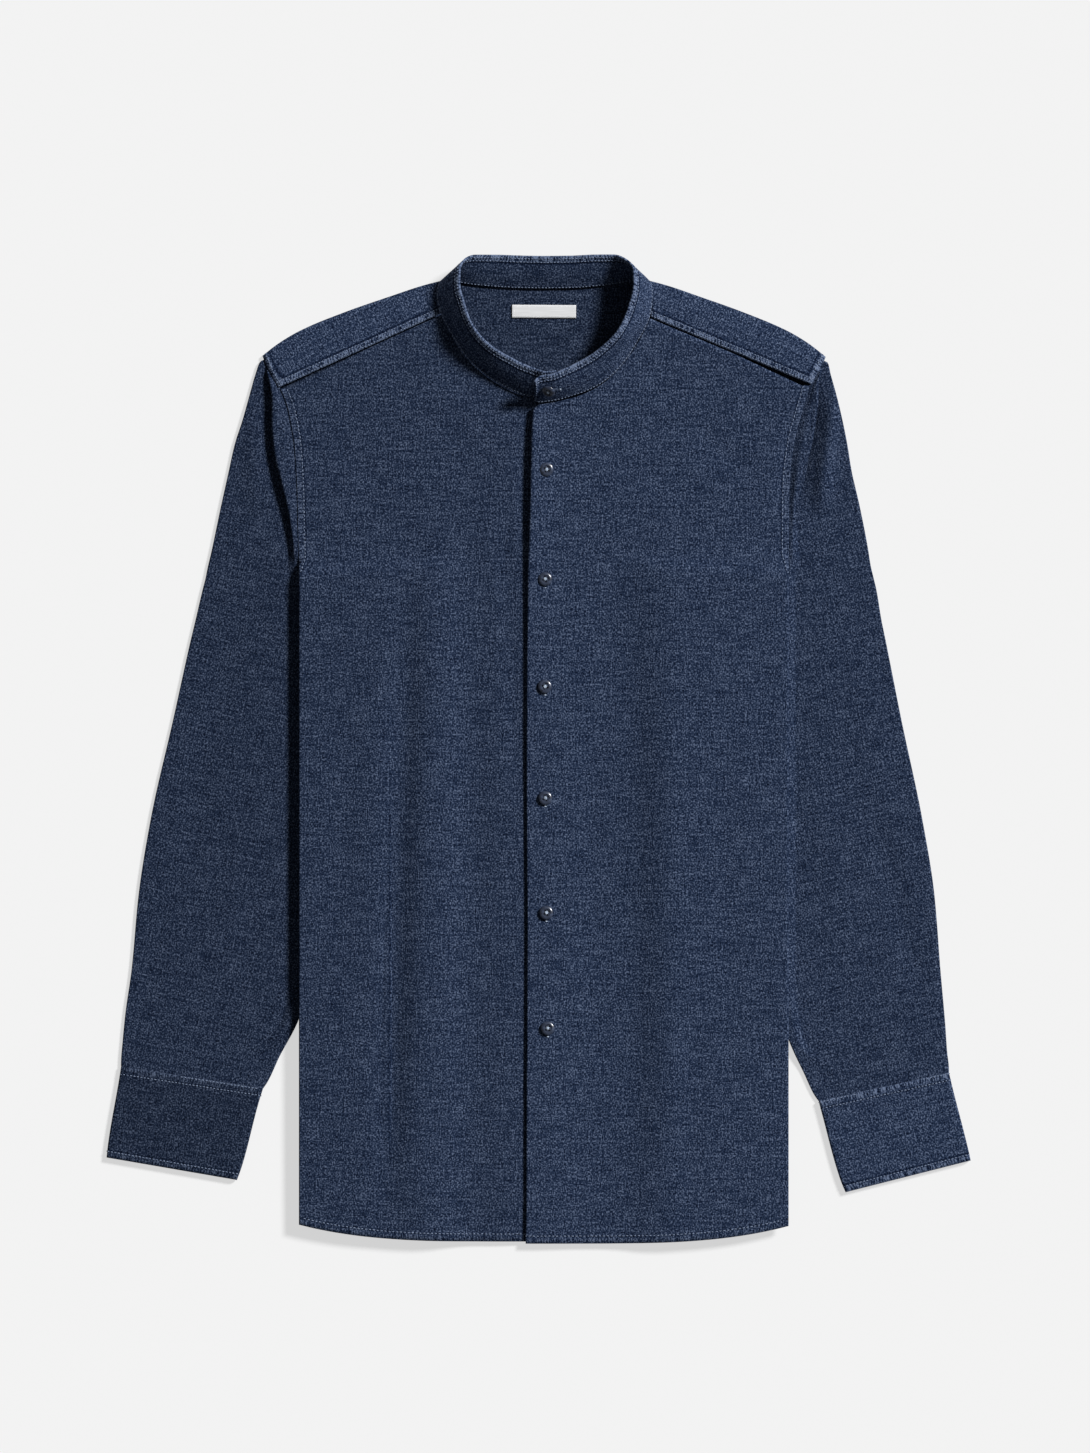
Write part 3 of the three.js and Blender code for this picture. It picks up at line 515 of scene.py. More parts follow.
def curve_hem(grid, up=0.0):
    """Pull the last rows onto the hem's curve, which straight lines between the corners would cut off."""
    off = np.array([hem_at(x) + up for x in grid[-1, :, 0]]) - grid[-1, :, 1]
    near = np.clip(1 - (grid[..., 1] - grid[-1, :, 1]) / HEM_REACH, 0, 1)
    curved = grid.copy()
    curved[..., 1] += off * near**2
    return curved


def side_turn(x, y, z, tuck, turn, hand, up):
    """Corners where a side turns under: 0 flat, 1 hanging, 2 folded in by tuck, 3 ending at the side seam."""
    if turn == 0:
        return [point(x - hand * d, y, z) for d in (6.5, 4.2, 2.0, 0)]
    if turn == 1:
        drops = (0, 1.4, 1.95, 2.5) if up > 0 else (0, 1.6, 2.3, 3)
        return [point(x, y, z + up * d) for d in drops]
    inside = z + up * FOLD
    reach = tuck - 1.5 if turn == 2 else tuck
    end_z = inside if turn == 2 else SEAM_MIDDLE - up * 0.18
    return [
        point(x, y, z),
        point(x, y, inside),
        point(x - hand * reach, y, inside),
        point(x - hand * tuck, y, end_z),
    ]


# %% [markdown]
# A front edge is turned back as a facing, and the upper one stands up a little toward the neck, where the
# collar lifts it. The fronts ride up over the tucked sides, and where they drop off, a soft lengthwise hollow
# shows. Such hollows are pressed in one by one, because each has its own length and depth.

# %% Fronts
FRONT_COLUMNS = "edge_x edge_y edge_z facing side_x side_y side_z high_z tuck turn"
front_right_rows = table(FRONT_COLUMNS, [
    (-76.8, 347.6, 5.2, 3, -205.6, 288.6, 6.5, 5.6, 0, 0),
    (-68.8, 332.6, 5.0, 3, -200.4, 275.6, 6.5, 5.6, 0, 0),
    (-56.9, 314.0, 4.6, 3, -197.2, 261.2, 6.5, 5.6, 0, 0),
    (-36.4, 295.0, 4.2, 3, -194.4, 243.6, 6.5, 5.6, 0, 0),
    (-14.0, 283.4, 3.8, 5, -193.0, 223.6, 6.5, 5.6, 0, 0),
    (6.0, 279.0, 3.8, 12, -192.0, 202.8, 6.5, 5.6, 0, 0),
    (20.4, 275.0, 3.8, 28, -191.6, 180.4, 6.8, 5.8, 0, 0),
    (20.4, 223.6, 3.8, 28, -191.0, 158.0, 7.4, 6.4, 0, 0),
    (20.4, 170.0, 3.8, 28, SIDE_RIGHT, 146.0, 9.6, 7.2, 0, 1),
    (20.4, 150.0, 3.8, 28, SIDE_RIGHT, 137.0, STACK_TOP, 7.6, 8, 2),
    (20.4, 134.0, 3.8, 28, SIDE_RIGHT, 127.6, STACK_TOP, 8.2, 28, 2),
    (20.4, 103.6, 3.8, 28, SIDE_RIGHT, 103.6, STACK_TOP, 8.8, TUCK_RIGHT, 2),
    (20.4, 88.0, 3.8, 28, SIDE_RIGHT, 88.0, STACK_TOP, STACK_TOP, TUCK_RIGHT, 3),
    (20.4, -20.0, 3.8, 28, SIDE_RIGHT, -20.0, STACK_TOP, STACK_TOP, TUCK_RIGHT, 3),
    (20.4, -150.0, 3.8, 28, SIDE_RIGHT, -150.0, STACK_TOP, STACK_TOP, TUCK_RIGHT, 3),
    (20.4, -280.0, 3.8, 28, SIDE_RIGHT, -280.0, 8.8, 8.7, TUCK_RIGHT, 3),
    (20.4, -350.0, 3.8, 28, SIDE_RIGHT, -350.0, 8.6, 8.5, TUCK_RIGHT, 3),
    (20.4, HEM_CENTRE, 3.8, 28, SIDE_RIGHT, HEM_CENTRE, 8.4, 8.3, TUCK_RIGHT, 3),
])
front_left_rows = table(FRONT_COLUMNS, [
    (90.0, 344.6, 6.4, 3, 217.6, 291.0, 6.5, 6.2, 0, 0),
    (80.4, 326.0, 6.6, 3, 215.0, 281.6, 6.5, 6.2, 0, 0),
    (67.6, 307.4, 6.8, 3, 210.8, 267.6, 6.5, 6.2, 0, 0),
    (48.4, 289.8, 7.1, 3, 206.8, 253.2, 6.5, 6.2, 0, 0),
    (26.0, 280.4, 7.1, 5, 203.6, 235.6, 6.5, 6.2, 0, 0),
    (6.0, 277.0, 7.1, 12, 201.6, 215.6, 6.5, 6.2, 0, 0),
    (-4.8, 272.0, 7.1, 28, 201.0, 193.2, 6.8, 6.4, 0, 0),
    (-7.0, 223.6, 7.1, 28, 200.8, 163.6, 7.4, 6.8, 0, 0),
    (-8.0, 170.0, 7.1, 28, SIDE_LEFT, 148.0, 9.6, 7.4, 0, 1),
    (-8.6, 150.0, 7.1, 28, SIDE_LEFT, 137.0, STACK_TOP, 7.8, 8, 2),
    (-8.6, 134.0, 7.1, 28, SIDE_LEFT, 127.6, STACK_TOP, 8.2, 38, 2),
    (-8.6, 103.6, 7.1, 28, SIDE_LEFT, 103.6, STACK_TOP, 8.8, TUCK_LEFT, 2),
    (-8.6, 88.0, 7.1, 28, SIDE_LEFT, 88.0, STACK_TOP, STACK_TOP, TUCK_LEFT, 3),
    (-8.6, -20.0, 7.1, 28, SIDE_LEFT, -20.0, STACK_TOP, STACK_TOP, TUCK_LEFT, 3),
    (-8.0, -150.0, 7.1, 28, SIDE_LEFT, -150.0, STACK_TOP, STACK_TOP, TUCK_LEFT, 3),
    (-8.6, -280.0, 7.1, 28, SIDE_LEFT, -280.0, 8.8, 8.7, TUCK_LEFT, 3),
    (-8.8, -350.0, 7.1, 28, SIDE_LEFT, -350.0, 8.6, 8.5, TUCK_LEFT, 3),
    (-9.2, HEM_CENTRE, 7.1, 28, SIDE_LEFT, HEM_CENTRE, 8.4, 8.3, TUCK_LEFT, 3),
])


EDGE_LIFT = 3.2  # the upper front's folded edge stands up by this much at its top
LIFT_OUT = 0.45  # and rolls outward by this share of it
LIFT_FROM, LIFT_RUN = 60.0, 120.0  # it starts to rise here, and is fully up after this run
SPRING = 3.2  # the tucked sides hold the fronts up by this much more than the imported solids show


def front_panel(rows, hand, flat, start, end, stack, height, hem_drop=0.0):
    corners = []
    for row in rows:
        lift = SPRING if row["turn"] >= 2 else 0.0
        springs_up = hand > 0 and row["facing"] > 12
        risen = max(0.0, min(1.0, (row["edge_y"] - LIFT_FROM) / LIFT_RUN))
        edge_lift = EDGE_LIFT * risen if springs_up else 0.0
        edge = point(row["edge_x"] + LIFT_OUT * edge_lift, row["edge_y"], row["edge_z"] + edge_lift)
        side = point(row["side_x"], row["side_y"], row["side_z"])
        back = row["edge_z"] - FOLD
        corners.append([
            toward(edge, side, row["facing"] / np.linalg.norm(side - edge), back),
            point(edge[0], edge[1], back),
            edge,
            toward(edge, side, flat, row["edge_z"]),
            toward(edge, side, start, height),
            toward(edge, side, end, height),
            toward(edge, side, stack, row["high_z"] + lift),
            *side_turn(side[0], side[1], side[2] + lift, row["tuck"], row["turn"], hand, -1),
        ])
    corners[-1] = on_hem(corners[-1], -hem_drop)
    return curve_hem(grid_from(corners, [1] * 9), -hem_drop)


front_right_grid = front_panel(
    front_right_rows, -1, flat=0.14, start=0.22, end=0.36, stack=0.48, height=4.9
)
front_left_grid = front_panel(
    front_left_rows, 1, flat=0.09, start=0.2, end=0.36, stack=0.52, height=6.1, hem_drop=LEFT_HEM_DROP
)
# Troughs and ridges of the fronts. The pair down each side lies where the tucked side ends.
front_right_grid = press(front_right_grid, [
    (-101.0, 190.0, -121.0, -425.0, 13.0, -3.8), (-96.0, 90.0, -106.0, -420.0, 14.0, 0.9),
    (-30.0, 235.0, -14.0, -60.0, 7.0, -0.9), (-11.5, 262.0, -11.5, 150.0, 4.0, -0.9),
    (-150.0, 60.0, -160.0, -180.0, 10.0, -0.5), (-60.0, 120.0, -52.0, -160.0, 13.0, -0.5),
    (-165.0, 250.0, -120.0, 205.0, 9.0, -0.6), (-90.0, -220.0, -70.0, -400.0, 12.0, -0.5),
])
front_left_grid = press(front_left_grid, [
    (80.0, 165.0, 84.0, -430.0, 14.0, -0.9), (106.0, 120.0, 104.0, -390.0, 15.0, 0.8),
    (40.0, 70.0, 46.0, -260.0, 11.0, -0.5), (150.0, 40.0, 156.0, -300.0, 14.0, -0.5),
    (120.0, 262.0, 176.0, 214.0, 10.0, -0.8), (60.0, 235.0, 128.0, 208.0, 12.0, -0.4),
    (128.0, -180.0, 118.0, -400.0, 12.0, -0.6), (205.0, 276.0, 192.0, 182.0, 5.0, -0.8),
])
front_right = cloth(
    "cloth_front_right", front_right_grid, grain_by_plan(0), chambray_front_right, sewn=("right", "last")
)
front_left = cloth(
    "cloth_front_left", front_left_grid, grain_by_plan(0), chambray_front_left, sewn=("right", "last")
)

# %% [markdown]
# The back lies flat on the table below the yoke, and its sides are folded in upward by the same amounts. It
# is seen only past the hem and at the edges, so its faces are a little larger.

# %% Back
back_rows = table("y right_x left_x side_z tuck_right tuck_left turn", [
    (273.6, -201.4, 212.4, FLOOR_PLY, 0, 0, 0),
    (243.6, -194.4, 204.8, FLOOR_PLY, 0, 0, 0),
    (202.8, -192.0, 201.6, FLOOR_PLY, 0, 0, 0),
    (158.0, -191.0, 200.8, FLOOR_PLY, 0, 0, 0),
    (146.0, SIDE_RIGHT, SIDE_LEFT, FLOOR_PLY, 0, 0, 1),
    (137.0, SIDE_RIGHT, SIDE_LEFT, FLOOR_PLY, 8, 8, 2),
    (127.6, SIDE_RIGHT, SIDE_LEFT, FLOOR_PLY, 28, 38, 2),
    (103.6, SIDE_RIGHT, SIDE_LEFT, FLOOR_PLY, TUCK_RIGHT, TUCK_LEFT, 2),
    (88.0, SIDE_RIGHT, SIDE_LEFT, FLOOR_PLY, TUCK_RIGHT, TUCK_LEFT, 3),
    (-150.0, SIDE_RIGHT, SIDE_LEFT, FLOOR_PLY, TUCK_RIGHT, TUCK_LEFT, 3),
    (-300.0, SIDE_RIGHT, SIDE_LEFT, FLOOR_PLY, TUCK_RIGHT, TUCK_LEFT, 3),
    (HEM_CENTRE, SIDE_RIGHT, SIDE_LEFT, FLOOR_PLY, TUCK_RIGHT, TUCK_LEFT, 3),
])
back_corners = []
for row in back_rows:
    right = side_turn(row["right_x"], row["y"], row["side_z"], row["tuck_right"], row["turn"], -1, 1)
    left = side_turn(row["left_x"], row["y"], row["side_z"], row["tuck_left"], row["turn"], 1, 1)
    back_corners.append([*right[::-1], point(HEM_CENTRE_X, row["y"], FLOOR_PLY), *left])
back_corners[-1] = on_hem(back_corners[-1], BACK_HEM_UP)
back_grid = curve_hem(grid_from(back_corners, [1, 1, 1, 0, 1, 1, 1], step=5.0), BACK_HEM_UP)
back = cloth("cloth_back", back_grid, grain_by_plan(0), chambray_body)

# %% [markdown]
# The yoke is one piece that comes over both shoulders. Its grid is a fan of lines from the neck outward, and
# the two shoulder lines are folds. Each forward half is turned so that its threads follow the shoulder.

# %% Yoke
yoke_lines = table("neck_x neck_y neck_z out_x out_y out_z bow", [
    (-77.0, 348.8, 5.2, -206.2, 289.6, 6.5, 0),
    (-77.4, 362.0, 4.4, -212.8, 300.0, 5.2, 0.6),
    (-74.0, 375.4, 2.5, -218.7, 313.1, 2.5, 1),
    (-74.0, 375.4, FLOOR_PLY, -218.7, 313.1, FLOOR_PLY, 1),
    (-66.0, 375.0, FLOOR_PLY, -212.4, 295.6, FLOOR_PLY, 0.6),
    (-50.0, 372.6, FLOOR_PLY, -201.6, 274.4, FLOOR_PLY, 0),
    (-26.0, 370.6, FLOOR_PLY, -106.0, 274.4, FLOOR_PLY, 0),
    (5.2, 369.8, FLOOR_PLY, 5.2, 274.4, FLOOR_PLY, 0),
    (36.4, 370.6, FLOOR_PLY, 116.4, 274.4, FLOOR_PLY, 0),
    (60.0, 372.8, FLOOR_PLY, 212.6, 274.4, FLOOR_PLY, 0),
    (77.0, 375.2, FLOOR_PLY, 223.0, 295.6, FLOOR_PLY, 0.6),
    (86.0, 375.6, FLOOR_PLY, 229.2, 312.3, FLOOR_PLY, 1),
    (86.0, 375.6, 2.5, 229.2, 312.3, 2.5, 1),
    (90.0, 362.0, 5.0, 223.6, 302.0, 5.2, 0.6),
    (90.4, 345.8, 6.4, 218.0, 292.2, 6.5, 0),
])
YOKE_GRAIN = 27.0  # turn of the threads on the forward halves, in degrees
YOKE_SHARES = (0, 0.12, 0.3, 0.55, 0.8, 0.92, 1.008)  # the last reaches just over the sleeve's edge
YOKE_BOW = (0, 3, 5.6, 8.6, 9.2, 6.4, 2)  # rise of the shoulder fold at each share of its length
FORWARD_FROM = 1.6  # above this height the yoke is on its forward halves
# faces below this height get the darker chambray copy: painted shade, the band's shadow on the yoke's inside
BACK_PLY_TOP = 1.9  # faces below this height lie on the back, and show the inside of the cloth
yoke_corners = []
for share, bow in zip(YOKE_SHARES, YOKE_BOW):
    row = []
    for line in yoke_lines:
        neck = point(line["neck_x"], line["neck_y"], line["neck_z"])
        straight = toward(neck, point(line["out_x"], line["out_y"], line["out_z"]), share)
        row.append(straight + point(0, bow * line["bow"], 0))
    yoke_corners.append(row)
yoke_grid = grid_from(yoke_corners, [0, 1, 1, 0, 0, 0, 0, 0, 0, 0, 1, 1, 0])


def yoke_grain(grid):
    """Plan threads on the back of the yoke, turned with the shoulders on the forward halves."""
    flat = grain_by_plan(0)(grid)
    right = grain_by_plan(YOKE_GRAIN)(grid)
    left = grain_by_plan(-YOKE_GRAIN)(grid)
    forward = (grid[..., 2] > FORWARD_FROM)[..., None]
    return np.where(forward, np.where(grid[..., :1] < 0, right, left), flat)


yoke = cloth("cloth_yoke", yoke_grid, yoke_grain, chambray_yoke, sewn=("left", "right", "last"))
# The second material is a darker copy of the chambray: painted shade on the yoke's back faces inside the neck.
yoke.data.materials.append(chambray_inside_painted_shade)
back_ply = [1 if face.center.z < BACK_PLY_TOP * MM else 0 for face in yoke.data.polygons]
yoke.data.polygons.foreach_set("material_index", back_ply)
print("yoke faces that lie on the back", sum(back_ply))

# %% [markdown]
# Each sleeve is one sheet from the front armhole round the outer fold to the back armhole. The cap has a
# pleat along the armhole that puffs up at its fold, and below the underarm the sheet closes in the sleeve
# seam, which lies under the inner edge. The upper arm lies inside the tucked side of the body, and climbs
# onto it there. The first row reaches under the yoke and the last one under the cuff, so no gap shows.

# %% Sleeves
CAP_COLUMNS = "seam_x seam_y seam_z strip tuck out_x out_y back_x back_y back_z"
cap_right = table(CAP_COLUMNS, [
    (-214.6, 300.2, 5.0, 2.4, -2.5, -220.9, 310.6, -214.2, 296.6, FLOOR_PLY),
    (-208.2, 289.2, 6.4, 7.0, 3, -225.2, 300.4, -208.0, 284.0, FLOOR_PLY),
    (-203.0, 277.2, 6.5, 9.5, 6, -230.0, 283.6, -202.4, 270.0, FLOOR_PLY),
    (-199.0, 260.4, 6.5, 13.5, 10, -235.6, 263.6, -198.6, 256.0, FLOOR_PLY),
    (-195.4, 238.0, 6.5, 15.5, 12, -242.0, 243.6, -194.8, 236.0, FLOOR_PLY),
    (-193.8, 215.6, 6.5, 12.0, 9, -246.8, 222.0, -193.4, 215.0, FLOOR_PLY),
    (-192.8, 188.0, 6.6, 6.0, 3, -253.0, 194.0, -192.8, 188.0, FLOOR_PLY),
    (-191.8, 158.0, 7.4, 2.6, -4, -261.0, 156.0, -191.8, 158.0, FLOOR_PLY),
])
cap_left = table(CAP_COLUMNS, [
    (225.0, 299.8, 5.0, 2.4, -2.5, 231.6, 309.6, 224.8, 296.6, FLOOR_PLY),
    (219.4, 289.8, 6.4, 6.0, 3, 234.2, 300.0, 219.0, 284.6, FLOOR_PLY),
    (215.6, 277.2, 6.5, 9.0, 6, 238.8, 283.6, 213.4, 270.0, FLOOR_PLY),
    (210.2, 260.4, 6.5, 12.0, 9, 243.6, 263.6, 209.2, 256.0, FLOOR_PLY),
    (205.6, 240.4, 6.5, 13.0, 10, 247.6, 243.6, 204.9, 238.0, FLOOR_PLY),
    (203.0, 219.6, 6.5, 9.0, 6, 250.8, 223.6, 203.4, 218.0, FLOOR_PLY),
    (202.0, 195.0, 6.7, 4.0, 2, 257.2, 195.6, 202.4, 195.0, FLOOR_PLY),
    (201.6, 163.6, 7.4, 2.6, -4, 264.0, 161.0, 201.7, 158.0, FLOOR_PLY),
])
ARM_COLUMNS = "in_x in_y in_upper in_lower out_x out_y step turned"
arm_right = table(ARM_COLUMNS, [
    (-188.0, 146.0, 5.4, 3.9, -263.4, 146.0, -193.6, 0),
    (-182.2, 137.0, 5.75, 3.8, -265.2, 137.0, SIDE_RIGHT, 0),
    (-162.0, 127.6, SLEEVE_UPPER, SLEEVE_LOWER, -267.6, 127.6, SIDE_RIGHT, 0),
    (-120.0, 104.6, SLEEVE_UPPER, SLEEVE_LOWER, -273.2, 103.6, SIDE_RIGHT, 0),
    (-120.4, 86.0, SLEEVE_UPPER, SLEEVE_LOWER, -277.4, 86.0, SIDE_RIGHT, 1),
    (-131.0, 23.6, SLEEVE_UPPER, SLEEVE_LOWER, -291.2, 23.6, SIDE_RIGHT, 1),
    (-148.0, -56.4, SLEEVE_UPPER, SLEEVE_LOWER, -309.2, -56.4, SIDE_RIGHT, 1),
    (-163.6, -116.4, SLEEVE_UPPER, SLEEVE_LOWER, -318.8, -116.4, SIDE_RIGHT, 1),
    (-180.0, -176.4, SLEEVE_UPPER, SLEEVE_LOWER, -324.4, -176.4, SIDE_RIGHT, 1),
    (-190.8, -214.8, SLEEVE_UPPER, SLEEVE_LOWER, -329.2, -210.0, -198, 1),
    (-206.4, -245.0, SLEEVE_LOW, FLOOR_PLY, -331.4, -232.0, -222, 1),
    (-219.2, -270.3, SLEEVE_LOW, FLOOR_PLY, -332.9, -252.9, -236, 1),
    (-222.6, -273.6, 3.0, 2.2, -330.4, -256.4, -238, 1),
])
arm_left = table(ARM_COLUMNS, [
    (198.0, 148.0, 5.4, 3.9, 266.2, 147.0, 203.6, 0),
    (192.2, 137.0, 5.75, 3.8, 268.6, 137.0, SIDE_LEFT, 0),
    (162.0, 127.6, SLEEVE_UPPER, SLEEVE_LOWER, 270.8, 127.6, SIDE_LEFT, 0),
    (97.6, 104.6, SLEEVE_UPPER, SLEEVE_LOWER, 274.8, 103.6, SIDE_LEFT, 0),
    (98.4, 86.0, SLEEVE_UPPER, SLEEVE_LOWER, 278.4, 86.0, SIDE_LEFT, 1),
    (122.0, 23.6, SLEEVE_UPPER, SLEEVE_LOWER, 290.8, 23.6, SIDE_LEFT, 1),
    (147.6, -56.4, SLEEVE_UPPER, SLEEVE_LOWER, 307.6, -56.4, SIDE_LEFT, 1),
    (166.8, -116.4, SLEEVE_UPPER, SLEEVE_LOWER, 317.2, -116.4, SIDE_LEFT, 1),
    (184.4, -176.4, SLEEVE_UPPER, SLEEVE_LOWER, 322.0, -176.4, SIDE_LEFT, 1),
    (201.2, -232.4, SLEEVE_UPPER, SLEEVE_LOWER, 326.0, -222.0, 207, 1),
    (213.0, -258.0, SLEEVE_LOW, FLOOR_PLY, 327.2, -240.0, 228, 1),
    (224.8, -280.7, SLEEVE_LOW, FLOOR_PLY, 328.9, -257.7, 240, 1),
    (228.4, -283.8, 3.0, 2.2, 326.2, -261.0, 242, 1),
])
CLIMB = 6.0  # run of the slope where the sleeve climbs onto the body
SINK = 0.87  # the fine sleeve is thinner than its solid, so it lies lower between the body's plies
UNDER_SEAM = 2.5  # the sleeve's edge lies this far under the body's
PLEAT_PUFF = 3.2  # the strip beside the armhole rises by this much at its fold
PLEAT_FULL = 6.0  # a pleat this deep puffs up fully
PUFF_HALFWAY = 0.7  # share of the puff in the middle of the strip
PLEAT_FLOOR = 1.4  # the sleeve sinks to this height under the pleat's fold
SLEEVE_GRAIN = 13.0  # turn of the sleeve's threads, in degrees
TIP_IN, TIP_UP, TIP_LOW = 4.5, 1.5, 0.55  # the row under the yoke: inward, toward the neck, share of height


def cap_row(row):
    seam = point(row["seam_x"], row["seam_y"], row["seam_z"])
    out = point(row["out_x"], row["out_y"], SLEEVE_LOW)
    rear = point(row["back_x"], row["back_y"], FLOOR_PLY)
    length = np.linalg.norm(out - seam)
    strip, tuck, drop = row["strip"], row["tuck"], row["seam_z"] - SLEEVE_LOW
    if tuck > 0:
        deep = row["seam_z"] - PLEAT_FLOOR
        pleat = [(strip, drop / 2), (strip - tuck, drop / 2), (strip - tuck, deep)]
    else:
        pleat = [(strip - tuck * k / 3, drop * k / 3) for k in (1, 2, 3)]
    puff = PLEAT_PUFF * min(1.0, max(tuck, 0) / PLEAT_FULL)
    near = [(0.8, 0.0), (strip * 0.5, -puff * PUFF_HALFWAY), (strip, -puff)]
    return [
        point(row["seam_x"] - math.copysign(UNDER_SEAM, row["seam_x"]), row["seam_y"], row["seam_z"] - 1.1),
        *[toward(seam, out, d / length, row["seam_z"] - fall) for d, fall in near + pleat],
        out,
        point(out[0], out[1], FLOOR_PLY),
        toward(rear, out, 0.12, FLOOR_PLY),
        toward(rear, out, 0.06, FLOOR_PLY),
        rear,
    ]


def arm_row(row, hand):
    upper, lower, step = row["in_upper"] * SINK, row["in_lower"] * SINK, row["step"]
    inner = point(row["in_x"], row["in_y"], upper)
    out = point(row["out_x"], row["out_y"], SLEEVE_LOW)

    def at(x, z):
        return toward(inner, out, (x - row["in_x"]) / (row["out_x"] - row["in_x"]), z)

    if row["turned"]:
        start = [at(row["in_x"] + hand * 4, lower), at(row["in_x"], lower), inner]
        rear = row["in_x"] + hand * 4.5
    else:
        start = [inner, at(row["in_x"] + hand * 1.2, upper), at(row["in_x"] + hand * 2.4, upper)]
        rear = row["in_x"]
    slope = [at(step + hand * CLIMB * k / 3, upper - (upper - SLEEVE_LOW) * k / 3) for k in range(4)]
    return [
        *start,
        *slope,
        out,
        point(out[0], out[1], FLOOR_PLY),
        at(step + hand * (CLIMB + 1), FLOOR_PLY),
        at(step + hand * 3, lower),
        at(rear, lower),
    ]


def sleeve_grid(cap, arm, hand):
    rows = [cap_row(row) for row in cap] + [arm_row(row, hand) for row in arm]
    under_yoke = [point(p[0] - hand * TIP_IN, p[1] + TIP_UP, p[2] * TIP_LOW) for p in rows[0]]
    return grid_from([under_yoke, *rows], [1] * 10)


sleeve_right_grid = press(sleeve_grid(cap_right, arm_right, -1), [
    (-240.0, 120.0, -290.0, -120.0, 14.0, -0.8), (-215.0, -10.0, -262.0, -200.0, 12.0, 0.6),
    (-296.0, -110.0, -322.0, -236.0, 9.0, -0.7), (-230.0, 286.0, -222.0, 180.0, 9.0, 1.4),
])
sleeve_left_grid = press(sleeve_grid(cap_left, arm_left, 1), [
    (239.0, 298.0, 224.0, 180.0, 7.5, 4.4), (226.0, 300.0, 208.0, 190.0, 4.0, -1.6),
    (246.0, 110.0, 296.0, -110.0, 15.0, 0.6), (266.0, -40.0, 312.0, -215.0, 10.0, -0.9),
    (218.0, 10.0, 252.0, -190.0, 12.0, 0.5),
])
sleeve_right = cloth(
    "cloth_sleeve_right", sleeve_right_grid, grain_by_plan(-SLEEVE_GRAIN), chambray_sleeve_right
)
sleeve_left = cloth(
    "cloth_sleeve_left", sleeve_left_grid, grain_by_plan(SLEEVE_GRAIN), chambray_sleeve_left
)

# %% [markdown]
# A cuff is a doubled, stiffened band, so it is thicker and flatter than the sleeve. It is folded flat with
# its button lap underneath, where the photograph doesn't show it.

# %% Cuffs
CUFF_WALL = 1.4
CUFF_LOWER, CUFF_MIDDLE, CUFF_UPPER = 0.7, 2.4, 4.1
CUFF_COLUMNS = "in_x in_y out_x out_y"
cuff_right_rows = table(CUFF_COLUMNS, [
    (-219.4, -270.8, -333.0, -253.4),
    (-222.6, -281.0, -334.6, -263.6),
    (-237.0, -335.0, -343.6, -317.0),
    (-240.4, -344.2, -344.6, -326.2),
])
cuff_left_rows = table(CUFF_COLUMNS, [
    (224.9, -281.2, 329.0, -258.2),
    (227.6, -291.4, 331.4, -268.4),
    (242.6, -345.0, 344.4, -319.6),
    (246.4, -354.0, 346.4, -328.6),
])
CUFF_LINE = [
    (0.45, CUFF_LOWER), (0.006, CUFF_LOWER), (0.006, CUFF_UPPER), (0.994, CUFF_UPPER),
    (0.994, CUFF_LOWER), (0.56, CUFF_LOWER), (0.48, CUFF_MIDDLE), (0.2, CUFF_MIDDLE),
]


def cuff_grid(rows):
    corners = []
    for row in rows:
        inner, outer = point(row["in_x"], row["in_y"], 0), point(row["out_x"], row["out_y"], 0)
        corners.append([toward(inner, outer, share, z) for share, z in CUFF_LINE])
    return grid_from(corners, [1] * 6, step=3.0)


cuff_right_grid = cuff_grid(cuff_right_rows)
cuff_left_grid = cuff_grid(cuff_left_rows)
CUFF_EDGES = ("first", "last")
cuff_right = cloth(
    "cloth_cuff_right", cuff_right_grid, grain_by_plan(-9), chambray_cuff_right, CUFF_WALL, CUFF_EDGES
)
cuff_left = cloth(
    "cloth_cuff_left", cuff_left_grid, grain_by_plan(14), chambray_cuff_left, CUFF_WALL, CUFF_EDGES
)

# %% [markdown]
# The collar is a stand band: two plies with a firm lining, 28 mm high, that leans inward as it lies. Its two
# ends overlap at the front, and the upper one ends in a rounded tab with a button.

